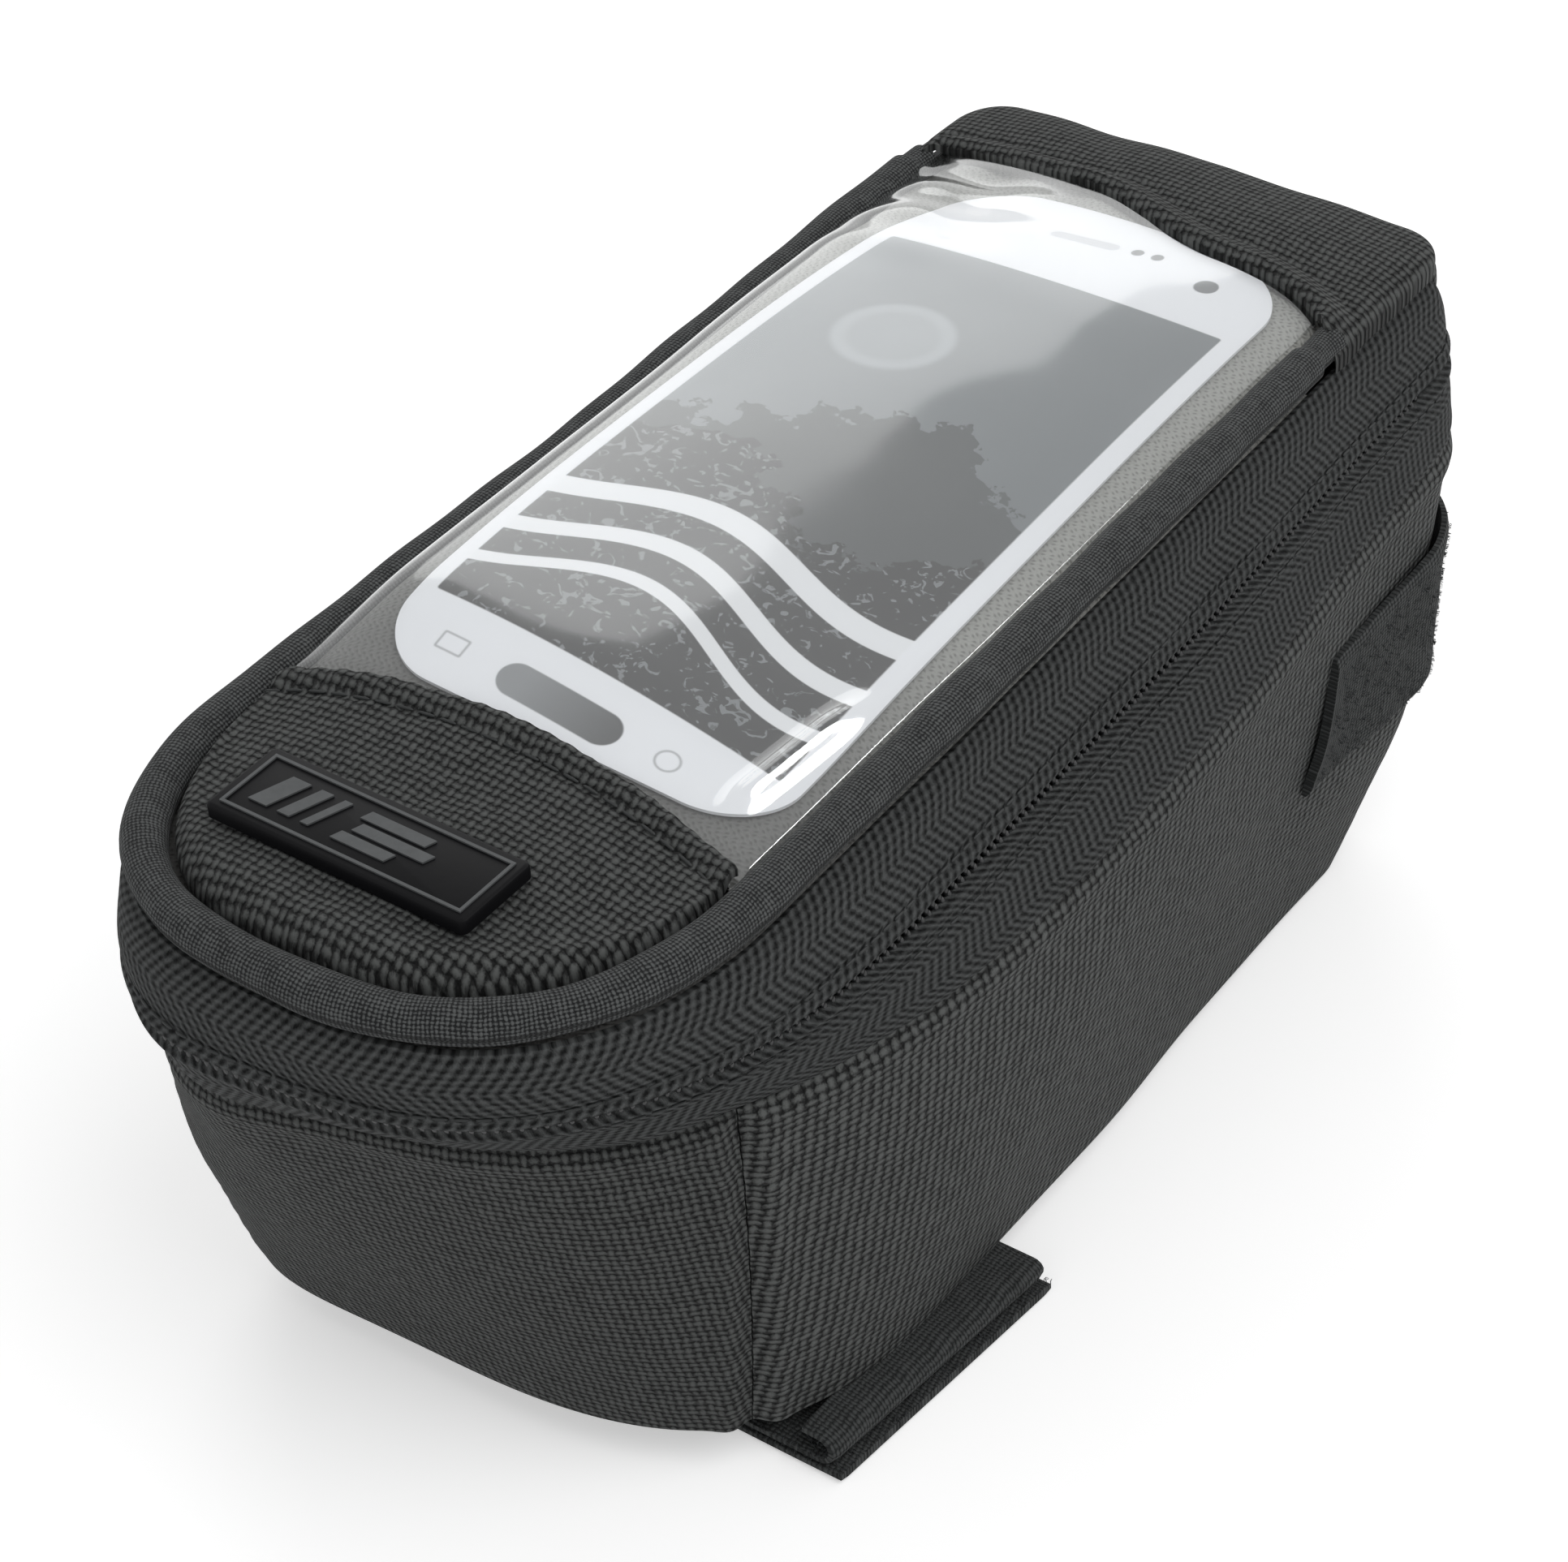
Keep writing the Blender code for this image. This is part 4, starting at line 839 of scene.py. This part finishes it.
def buildFarCover(cloth, thread):
    # cover over the square end: its rolled edge stands over the film, and it turns down to the hinge fold
    start = placeAtY(bag["rim"], lid["pipingEnd"] + 0.001, 1)
    end = 2 + placeAtY(bag["rim"], lid["pipingLeftEnd"] - 0.003, -1)
    places = np.linspace(start, end, farCover["columns"])
    ox, oy = outlineAt(bag["rim"], places)
    width = innerHalf(lid["pipingEnd"])
    turn = np.linspace(0, math.pi, len(places))
    ix = width * np.sign(np.cos(turn)) * np.abs(np.cos(turn)) ** 0.55
    iy = windowFarEdge(ix) + 0.0002
    ix = ix + rimShift(ix, iy)
    shares = np.linspace(-0.06, 1, farCover["rows"])
    grid = np.zeros((len(shares), len(places), 3))
    topZ = lidTop(ix, iy)
    for i, share in enumerate(shares):
        s = max(share, 0)
        reach = math.sin(s * math.pi / 2) ** 0.92
        x = ix + (ox - ix) * reach
        y = iy + (oy - iy) * reach
        drop = topZ - bag["rimHeight"] - 0.0013
        z = bag["rimHeight"] + 0.0013 + drop * math.cos(s * math.pi / 2) ** 0.62
        fromEdge = np.hypot(x - ix, y - iy) * 1000
        z = z + farCover["roll"] * np.exp(-((fromEdge - 1.6) / 1.9) ** 2)
        if share < 0:
            z = z - 0.0012 * (-share / 0.06)
        z = z - 0.0003 * np.exp(-((fromEdge - 5.2) / 0.6) ** 2)
        z = z + 0.0002 * softNoise(x * 1000, y * 1000, 15, 71)
        grid[i] = np.stack([x, y, z], axis=-1)
    laySheet("farCover", grid, farCover["cloth"], "lid", cloth, ("far_cover_panel",))
    print("bag: far cover made")


# sizes in metres, and each bar's middle, width and half height in millimetres
badge = {
    "centreY": -0.077, "halfX": 0.01825, "halfY": 0.0059, "thick": 0.0018, "corner": 0.0009, "bevel": 0.00045,
    "turn": -0.5, "shift": (-0.0019, -0.0003), "borderIn": 0.0013, "borderWide": 0.0004,
    "lean": 0.35, "bars": ((-12.3, 0, 2.6, 2.7), (-8.6, 0, 1.7, 2.7), (-5.6, 0, 1.1, 2.7),
                           (2.8, 2.1, 9.0, 0.75), (3.8, 0, 10.0, 0.75), (1.3, -2.1, 7.5, 0.75)),
}


def roundedBox(centre, half, corner, low, high, bevel):
    # plate with rounded corners and a bevelled upper edge, as rings from the bottom up
    rings = []
    for inset, z in ((0, low), (0, high - bevel), (bevel * 0.3, high - bevel * 0.3), (bevel, high)):
        ring = []
        for k in range(40):
            a = math.tau * (k + 0.5) / 40
            cx = math.copysign(half[0] - corner, math.cos(a))
            cy = math.copysign(half[1] - corner, math.sin(a))
            r = corner - inset
            ring.append((centre[0] + cx + r * math.cos(a), centre[1] + cy + r * math.sin(a), z))
        rings.append(ring)
    verts = [p for ring in rings for p in ring]
    faces = []
    for i in range(3):
        for k in range(40):
            low, m = i * 40, (k + 1) % 40
            faces.append((low + k, low + m, low + 40 + m, low + 40 + k))
    faces += [tuple(range(40)), tuple(120 + k for k in range(40))]
    return verts, faces


def joinParts(name, parts):
    verts, faces = [], []
    for partVerts, partFaces in parts:
        base = len(verts)
        verts += list(partVerts)
        faces += [tuple(base + k for k in face) for face in partFaces]
    return newPiece(name, verts, faces, None, 35)


def barPart(points, low, high):
    # raised flat shape from its plan corners
    count = len(points)
    verts = [(x, y, low) for x, y in points] + [(x, y, high) for x, y in points]
    faces = [tuple(range(count)), tuple(range(count, 2 * count))]
    faces += [(k, (k + 1) % count, (k + 1) % count + count, k + count) for k in range(count)]
    return verts, faces


def buildBadge(rubber, ink):
    # moulded rubber plate with a grey raised border and a plain motif of slanted bars
    rest = float(lidTop(np.array(0.0), np.array(badge["centreY"]))) + 0.0003
    top = rest + badge["thick"]
    half = np.array([badge["halfX"], badge["halfY"]])
    plate = joinParts("badge", [roundedBox((0, 0), half, badge["corner"], rest, top, badge["bevel"])])
    shapes = []
    outer = (badge["halfX"] - badge["borderIn"], badge["halfY"] - badge["borderIn"] + 0.0001)
    inner = (outer[0] - badge["borderWide"], outer[1] - badge["borderWide"])
    low, high = top - 0.0002, top + 0.00022
    for sign in (-1, 1):
        end = inner[1] + 0.00001
        shapes.append(barPart([(-outer[0], sign * outer[1]), (outer[0], sign * outer[1]),
                               (outer[0], sign * inner[1]), (-outer[0], sign * inner[1])], low, high))
        shapes.append(barPart([(sign * outer[0], -end), (sign * outer[0], end),
                               (sign * inner[0], end), (sign * inner[0], -end)], low, high))
    for bar in badge["bars"]:
        x, y, wide, tall = (size / 1000 for size in bar)
        lean = badge["lean"] * tall
        shapes.append(barPart([(x - wide / 2 - lean, y - tall), (x + wide / 2 - lean, y - tall),
                               (x + wide / 2 + lean, y + tall), (x - wide / 2 + lean, y + tall)], low, high))
    motif = joinParts("badgeMotif", shapes)
    turn = math.radians(badge["turn"])
    for piece, material, replaced in ((plate, rubber, ("rubber_badge",)), (motif, ink, ())):
        for vertex in piece.data.vertices:
            x, y = vertex.co.x, vertex.co.y
            vertex.co.x = badge["shift"][0] + x * math.cos(turn) - y * math.sin(turn)
            vertex.co.y = badge["centreY"] + badge["shift"][1] + x * math.sin(turn) + y * math.cos(turn)
        place(piece, "lid", material, replaced)
    print("bag: badge made")


# Inside, bottom and straps

inside = {"wall": 0.0056, "cloth": 0.0008, "foamFrom": 0.0016, "foamTo": 0.0044, "bottomCloth": 0.0009,
          "floor": 0.0036}


def buildFoams(foamFinish):
    # foam sheets behind the walls
    near, far = bag["nearSeam"], bag["farSeam"]
    for name, node, start, end in (
            ("nearFoam", "near_wall_foam", -near, near), ("leftFoam", "left_side_foam", -far, -near),
            ("rightFoam", "right_side_foam", near, far), ("farFoam", "far_wall_foam", far, 2 - far)):
        places, rows = np.linspace(start + 0.002, end - 0.002, 70), np.linspace(2.015, 2.93, 24)
        base, normal = skin(places, rows), skinNormals(places, rows, 2.0, 3.0)
        outer = base - normal * inside["foamFrom"]
        along, down = distances(outer)
        piece = sheetMesh(name, outer, base - normal * inside["foamTo"], np.stack([along, down], axis=-1))
        place(piece, "bag", foamFinish, (node,))
    print("bag: foams made")


def buildInside(liningCloth, packCloth):
    # sewn lining bowl, a little slack between its seams, and the bottom cloth
    places = np.linspace(-1, 1, 361)[:-1]
    rows = np.concatenate([np.linspace(2.02, 2.88, 26), [2.91, 2.935, 2.95]])
    base = skin(places, rows)
    normal = skinNormals(places, rows, 2.0, 3.0)
    along, down = distances(base)
    fromSeams = np.sin(np.linspace(0, math.pi, len(rows)))[:, None]
    depth = inside["wall"] + 0.0002 + 0.00025 * (1 + softNoise(along, down, 24, 83)) * fromSeams
    outer = base - normal * depth[..., None]
    outer[-1, :, 2] = inside["floor"] + bottomHeight(outer[-1, :, 1])
    centre = outer[-1].mean(axis=0)
    floorRings = [outer[-1] + (centre - outer[-1]) * s for s in (0.25, 0.55, 0.85, 0.98)]
    for ring in floorRings:
        ring[:, 2] = inside["floor"] + bottomHeight(ring[:, 1])
    grid = np.concatenate([outer, np.array(floorRings)])
    grid = np.concatenate([grid, grid[:, :1]], axis=1)
    inward = np.concatenate([normal, np.tile([0.0, 0, -1.0], (4, normal.shape[1], 1))])
    inward = np.concatenate([inward, inward[:, :1]], axis=1)
    a, d = distances(grid)
    piece = sheetMesh("bodyLining", grid, grid - inward * inside["cloth"], np.stack([a, d], axis=-1))
    place(piece, "bag", liningCloth, ("body_lining",))

    ring = skin(places, [3.0])[0]
    middle = ring.mean(axis=0)
    rings = [middle + (ring - middle) * s for s in np.linspace(0.975, 0.02, 24)]
    grid = np.array(rings)
    x, y = grid[..., 0] * 1000, grid[..., 1] * 1000
    sag = 0.00012 * softNoise(x, y, 30, 89) - 0.0001
    grid[..., 2] = bottomHeight(grid[..., 1]) + 0.0011 + sag * 0.6
    grid = np.concatenate([grid, grid[:, :1]], axis=1)
    laySheet("bottomCloth", grid, inside["bottomCloth"], "bag", packCloth, ("bottom_panel",))
    print("bag: inside and bottom made")


straps = {"thick": 0.0013, "nearCentre": -0.0368, "nearWidth": 0.0405, "out": 0.0432, "slant": 0.10,
          "tuck": 0.0365, "farHeight": 0.043, "farWidth": 0.022, "farStart": 0.0515, "farOverlap": 0.015}


def sweepStrap(pathAt, ys):
    # strap from its centre line in X and Z at each place along its width
    lines = []
    for y in ys:
        points = np.array(pathAt(y))
        length = np.concatenate([[0], np.cumsum(np.linalg.norm(np.diff(points, axis=0), axis=-1))])
        even = np.linspace(0, length[-1], 150)
        x, z = np.interp(even, length, points[:, 0]), np.interp(even, length, points[:, 1])
        lines.append(np.stack([x, np.full_like(x, y), z], axis=-1))
    grid = np.array(lines)
    tangent = np.gradient(grid, axis=1)
    normal = np.cross(np.array([0, 1.0, 0]), tangent)
    normal /= np.linalg.norm(normal, axis=-1, keepdims=True)
    steps = np.linalg.norm(np.diff(grid, axis=1), axis=-1)
    along = np.concatenate([np.zeros((len(ys), 1)), np.cumsum(steps, axis=1)], axis=1) * 1000
    across = np.repeat((np.array(ys) * 1000)[:, None], grid.shape[1], axis=1)
    fromEdge = np.minimum(across - across[0], across[-1] - across)
    thin = 1 - 0.45 * np.exp(-(fromEdge / 0.7) ** 2)
    outer = grid + normal * (straps["thick"] / 2 * thin)[..., None]
    inner = grid - normal * (straps["thick"] / 2 * thin)[..., None]
    return grid, outer, inner, np.stack([along, across], axis=-1), normal


def curlPath(side, run, endX, lift):
    def path(y):
        start = bottomHeight(y) - 0.0003 - straps["thick"] / 2
        middle, radius = (start + run) / 2, (start - run) / 2
        slant = straps["slant"] * (y - straps["nearCentre"])
        turnX = straps["out"] + slant - straps["thick"] / 2 - radius
        points = [(side * straps["tuck"], start), (side * (turnX - 0.001), start)]
        for k in range(13):
            a = math.pi / 2 - math.pi * k / 12
            points.append((side * (turnX + radius * math.cos(a) * 1.05), middle + radius * math.sin(a)))
        xs = np.linspace(side * (turnX - 0.002), endX + (slant if side < 0 else 0), 40)
        for x in xs:
            share = (x - xs[0]) / (xs[-1] - xs[0])
            points.append((x, run + lift * max(0.0, share - 0.8) ** 2 * 25))
        return points
    return path


def fuzzOn(name, points, normals, count, height, thickness, seed):
    # short curled loops of the fuzzy side, each a small bent ribbon
    dice = np.random.default_rng(seed)
    pick = dice.integers(0, len(points), count)
    verts, faces = [], []
    for n, i in enumerate(pick):
        base, up = points[i], normals[i]
        heading = dice.normal(size=3)
        flat = heading - up * heading.dot(up)
        flat /= np.linalg.norm(flat)
        side = np.cross(up, flat)
        span = dice.uniform(0.5, 1.5) * height
        tall = dice.uniform(0.4, 1.0) * height
        start = len(verts)
        for k in range(6):
            t = k / 5
            mid = base + flat * span * (t - 0.5) + up * tall * math.sin(t * math.pi)
            mid = mid + side * span * 0.3 * math.sin(t * 5)
            verts += [mid - side * thickness, mid + side * thickness]
        for k in range(5):
            a = start + 2 * k
            faces.append((a, a + 1, a + 3, a + 2))
    return newPiece(name, verts, faces, None, 80)


def buildNearStraps(strapCloth, loopYarn):
    low = straps["nearCentre"] - straps["nearWidth"] / 2
    high = straps["nearCentre"] + straps["nearWidth"] / 2
    ys = np.linspace(low, high, 34)
    runs = ((-1, "nearStrapLeft", "near_strap_left", straps["thick"] / 2, 0.0440, 0.0002),
            (1, "nearStrapRight", "near_strap_right", straps["thick"] * 1.5 + 0.0003, -0.025, 0.0))
    for side, name, node, run, endX, lift in runs:
        grid, outer, inner, uv, normal = sweepStrap(curlPath(side, run, endX, lift), ys)
        piece = sheetMesh(name, outer, inner, uv)
        place(piece, "bag", strapCloth, (node,))
        loops = slice(118, 150) if side < 0 else slice(2, 60)
        spots, up = grid[:, loops].reshape(-1, 3), normal[:, loops].reshape(-1, 3)
        if side < 0:
            up = -up * np.sign(-up[:, 2:3] + 1e-9)
        fuzz = fuzzOn(name + "Fuzz", spots + up * straps["thick"] * 0.45, up, 900, 0.0007, 0.00006, 97 + side)
        place(fuzz, "bag", loopYarn)
    print("bag: near straps made")


def buildFarStraps(strapCloth, loopYarn):
    seamZ = bag["rimHeight"] - bag["seam"][0]
    middle = 2 + (seamZ - straps["farHeight"]) / seamZ
    half = straps["farWidth"] / 2 / seamZ
    rows = np.linspace(middle - half, middle + half, 34)
    level = mixLevel(bag["seam"], bag["bottom"], middle - 2)
    length = halfOutline(level)[3]
    right, left = placeAtY(level, straps["farStart"], 1), placeAtY(level, straps["farStart"], -1)
    reach = straps["farOverlap"] / length
    for name, node, start, end, depth, seed in (
            ("farStrapRight", "far_strap_right", right, 1 + reach, 0.0004, 3),
            ("farStrapLeft", "far_strap_left", 1 - reach, 2 + left, 0.0018, 4)):
        places = np.linspace(start, end, 150)
        base = skin(places, rows)
        base = bulged(base, skinNormals(places, rows, 2.0, 3.0))
        normal = skinNormals(places, rows, 2.0, 3.0)
        along, down = distances(base)
        along -= along[:, :1]
        fromEdge = np.minimum(down, down[-1] - down)
        slack = 0.0004 * bump(along, 4, 22) * (1 if seed == 3 else 0.3)
        inner = base + normal * (depth + slack + 0.00018 * softNoise(along, down, 14, seed))[..., None]
        thin = straps["thick"] * (1 - 0.45 * np.exp(-(fromEdge / 0.7) ** 2))
        outer = inner + normal * thin[..., None]
        piece = sheetMesh(name, outer, inner, np.stack([along, down], axis=-1))
        place(piece, "bag", strapCloth, (node,))
        spots, up = (grid[2:-2, 2:-2].reshape(-1, 3) for grid in (outer, normal))
        fuzz = fuzzOn(name + "Fuzz", spots, up, 2600, 0.00045, 0.00005, 101 + seed)
        place(fuzz, "bag", loopYarn)
    print("bag: far straps made")


def bulged(grid, normal):
    # the far end stands out a little behind the straps
    y, z = grid[..., 1], grid[..., 2]
    farRight = bump(y, 0.045, 0.085) * bump(grid[..., 0], -0.03, 0.02)
    amount = 0.0030 * np.exp(-((z - 0.026) / 0.015) ** 2) * farRight
    return grid + normal * amount[..., None]


# Other finishes

def meshLining(name, near, far):
    # light knitted pocket lining with rows of small pores, darker grey towards the near end, which is painted
    # shade
    material, tree, shader = newMaterial(name)
    _, u, v = uvParts(tree)
    bend = calc(tree, "SINE", calc(tree, "MULTIPLY", v, math.tau / 2.3))
    sideways = calc(tree, "MULTIPLY_ADD", bend, 0.28, u)
    row = calc(tree, "SINE", calc(tree, "MULTIPLY", v, math.tau / 1.15))
    column = calc(tree, "SINE", calc(tree, "MULTIPLY", sideways, math.tau / 1.1))
    pores = calc(tree, "MULTIPLY", row, column)
    # the near colour is painted shade, fading into the lining's own light grey towards the far end
    base = mixColours(tree, remap(tree, v, -48.0, -8.0), near, far)
    colour = mixColours(tree, remap(tree, pores, 0.1, 0.9), base, (0.55, 0.55, 0.54, 1), "MULTIPLY")
    finish(tree, shader, {"Base Color": colour, "Roughness": 0.85}, pores, 0.6, 0.00015)
    return material


def clearFilm(name):
    # clear soft vinyl: see-through head on, mirror-like at a slant, with faint waves and a slight haze
    material, tree, shader = newMaterial(name)
    output = next(node for node in tree.nodes if node.type == "OUTPUT_MATERIAL")
    uv = add(tree, "UVMap", {"uv_map": "UVMap"})
    wave = add(tree, "TexNoise", {"Scale": 0.06, "Detail": 1.0}, ("Vector", uv))
    normal = add(tree, "Bump", {"Strength": 0.5, "Distance": 0.00014}, ("Height", wave))
    facing = add(tree, "Fresnel", {"IOR": 1.5}, ("Normal", normal))
    geometry = tree.nodes.new("ShaderNodeNewGeometry")
    front = calc(tree, "SUBTRACT", 1.0, geometry.outputs["Backfacing"])
    amount = calc(tree, "MULTIPLY_ADD", facing, 1.7, 0.006)
    amount = calc(tree, "MULTIPLY", amount, front)
    finish(tree, shader, {"Base Color": "#fbfcfc", "Metallic": 1.0, "Roughness": 0.09, "Normal": normal})
    clear = add(tree, "BsdfTransparent", {"Color": (0.975, 0.98, 0.98, 1)})
    mix = add(tree, "MixShader", {}, (0, amount), (1, clear), (2, shader.outputs[0]))
    tree.links.new(mix, output.inputs["Surface"])
    return material


def roundedMask(tree, u, v, box, soft=0.12):
    # 1 inside a rounded box: centre u, centre v, half width, half height, corner radius in millimetres
    centreU, centreV, halfU, halfV, radius = box
    pieces = []
    for source, centre, half in ((u, centreU, halfU), (v, centreV, halfV)):
        shifted = calc(tree, "SUBTRACT", source, centre)
        away = calc(tree, "ABSOLUTE", shifted)
        over = calc(tree, "SUBTRACT", away, half - radius)
        pieces.append(calc(tree, "MAXIMUM", over, 0.0))
    square = calc(tree, "MULTIPLY", pieces[0], pieces[0])
    total = calc(tree, "MULTIPLY_ADD", pieces[1], pieces[1], square)
    length = calc(tree, "SQRT", total)
    return remap(tree, length, radius + soft, radius - soft)


def printedCard(name):
    # white satin card with a printed phone front: hills under a pale sun on its screen, slot, dots and grille
    material, tree, shader = newMaterial(name)
    uv, u, v = uvParts(tree)

    def over(base, colour, mask, strength=1.0):
        return mixColours(tree, calc(tree, "MULTIPLY", mask, strength), base, colour)

    def wave(source, pitch, tall, base, phase=0.0):
        turned = calc(tree, "MULTIPLY_ADD", source, math.tau / pitch, phase)
        raised = calc(tree, "SINE", turned)
        return calc(tree, "MULTIPLY_ADD", raised, tall, base)

    def below(line, soft=0.15):
        gap = calc(tree, "SUBTRACT", line, v)
        return remap(tree, gap, -soft, soft)

    skyShare = remap(tree, v, -30.0, 52.0)
    picture = over("#7d8286", "#8f9498", skyShare)
    sideShare = remap(tree, u, -24.0, 20.0)
    picture = over(picture, "#64686b", sideShare, 0.55)
    picture = over(picture, "#b9bec2", roundedMask(tree, u, v, (-9.0, 33.0, 7.5, 7.5, 7.5), 0.5), 0.55)
    picture = over(picture, "#8f9498", roundedMask(tree, u, v, (-9.0, 33.0, 5.6, 5.6, 5.6), 0.5), 0.55)
    rough = add(tree, "TexNoise", {"Scale": 0.16, "Detail": 5.0, "Roughness": 0.6}, ("Vector", uv))
    jag = calc(tree, "MULTIPLY_ADD", rough, 26.0, -13.0)
    farHills = calc(tree, "ADD", wave(u, 52.0, 7.0, 13.0, 0.9), jag)
    picture = over(picture, "#505355", below(farHills))
    nearHills = calc(tree, "ADD", wave(u, 44.0, -6.0, -2.0, 0.4), jag)
    picture = over(picture, "#2c2c2e", below(nearHills))
    streakNoise = add(tree, "TexNoise", {"Scale": 0.5, "Detail": 4.0, "Distortion": 1.5}, ("Vector", uv))
    streak = remap(tree, streakNoise, 0.58, 0.62)
    inField = calc(tree, "MULTIPLY", streak, below(nearHills))
    picture = over(picture, "#8b8f92", inField, 0.75)
    for level, tall, wide in ((-13.0, 3.0, 1.9), (-22.0, 3.6, 1.5), (-29.5, 4.0, 1.1)):
        line = wave(u, 46.0, tall, level, 2.2)
        band = calc(tree, "SUBTRACT", v, line)
        band = calc(tree, "ABSOLUTE", band)
        picture = over(picture, "#f2f3f6", remap(tree, band, wide + 0.1, wide - 0.1))
    colour = over("#f6f7fb", picture, roundedMask(tree, u, v, (-0.3, 7.0, 23.6, 47.6, 0.4)))
    slotShade = remap(tree, u, -7.0, 6.0)
    slotColour = over("#8c8e91", "#48494b", slotShade)
    colour = over(colour, slotColour, roundedMask(tree, u, v, (-1.8, -47.4, 8.4, 2.5, 2.5)))
    for tone, box in (("#d4d5d9", (-4.4, 67.2, 5.0, 1.0, 1.0)), ("#66686b", (3.2, 67.4, 0.85, 0.85, 0.85)),
                      ("#66686b", (6.1, 67.4, 0.85, 0.85, 0.85)), ("#77797c", (15.4, 63.8, 1.6, 1.5, 1.5)),
                      ("#b9babd", (-17.2, -47.0, 1.9, 1.4, 0.3)), ("#f6f7fb", (-17.2, -47.0, 1.6, 1.1, 0.2)),
                      ("#b9babd", (12.6, -46.6, 1.6, 1.6, 1.6)), ("#f6f7fb", (12.6, -46.6, 1.3, 1.3, 1.3))):
        colour = over(colour, tone, roundedMask(tree, u, v, box))
    fine = add(tree, "TexNoise", {"Scale": 4.0, "Detail": 2.0}, ("Vector", uv))
    finish(tree, shader, {"Base Color": colour, "Roughness": 0.4}, fine, 0.1, 0.00003)
    return material


def finishCadNodes(materials):
    # CAD nodes that stay keep their mesh and get a fuller finish
    for names, material in materials:
        for name in names:
            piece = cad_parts[name]
            for slot in piece.material_slots:
                slot.material = material
    print("bag: CAD nodes finished")


def main():
    buildStage()
    # each woven cloth's low and high colours span painted shade in the weave gaps to painted highlight on the
    # thread tops, mixed with its own uneven tone
    cloth = wovenCloth("packCloth", "#0f1010", "#545655", 1.1, 1.1)
    sideCloth = wovenCloth("sideCloth", "#0d0e0e", "#5c5e5d", 1.5, 1.12)
    coverCloth = wovenCloth("coverCloth", "#0e0f0f", "#565857", 1.15, 1.15)
    # the tape's low and high colours span painted shade in the rib valleys to painted highlight on the rib
    # crests
    tapeCloth = zipTapeCloth("zipTapeRib", "#0c0d0d", "#5c5e5e")
    bindingCloth = wovenCloth("bindingTwill", "#1a1b1c", "#5a5c5c", 0.5, 0.5, 0.8, 0.14, 0.1)
    strapCloth = wovenCloth("strapCloth", "#1e2020", "#484a4a", 0.8, 0.55, 0.9, 0.25, 0.0, 0.06)
    # the first, darker colour is painted shade at the near end of the pocket
    liningCloth = meshLining("liningKnit", "#6c6c6a", "#a6a6a2")
    thread = plainFinish("blackThread", "#2c2e2e", 0.6, 0.05, 900.0, 0.0, 0.25)
    nylon = plainFinish("zipNylon", "#1d1e1f", 0.28, 0.0, 900.0, 0.0, 0.6)
    yarn = plainFinish("loopYarn", "#383a3b", 0.8, 0.0, 900.0, 0.0, 0.1)
    rubber = plainFinish("badgeRubber", "#0b0b0d", 0.45, 0.02, 900.0, 0.0, 0.08)
    ink = plainFinish("badgePaint", "#555758", 0.5, 0.02, 900.0, 0.0, 0.15)
    steel = plainFinish("sliderPaint", "#232425", 0.35, 0.02, 1200.0, 0.6)
    foamFinish = plainFinish("foamSheet", "#3b3b3e", 0.95, 0.3, 700.0)
    boardFinish = plainFinish("stiffBoard", "#6f6f72", 0.7, 0.05)
    film = clearFilm("clearVinyl")
    buildWalls(cloth, sideCloth)
    buildZip(tapeCloth, cloth, thread, nylon)
    buildPiping(bindingCloth)
    buildNearCover(coverCloth, thread)
    buildCard(printedCard("phoneCardPrint"))
    buildPocket(liningCloth)
    buildWindow(film)
    buildFarCover(cloth, thread)
    buildBadge(rubber, ink)
    buildFoams(foamFinish)
    buildInside(liningCloth, cloth)
    buildNearStraps(strapCloth, yarn)
    buildFarStraps(strapCloth, yarn)
    finishCadNodes(((("base_board",), boardFinish), (("slider_body", "pull_tab"), steel)))


main()
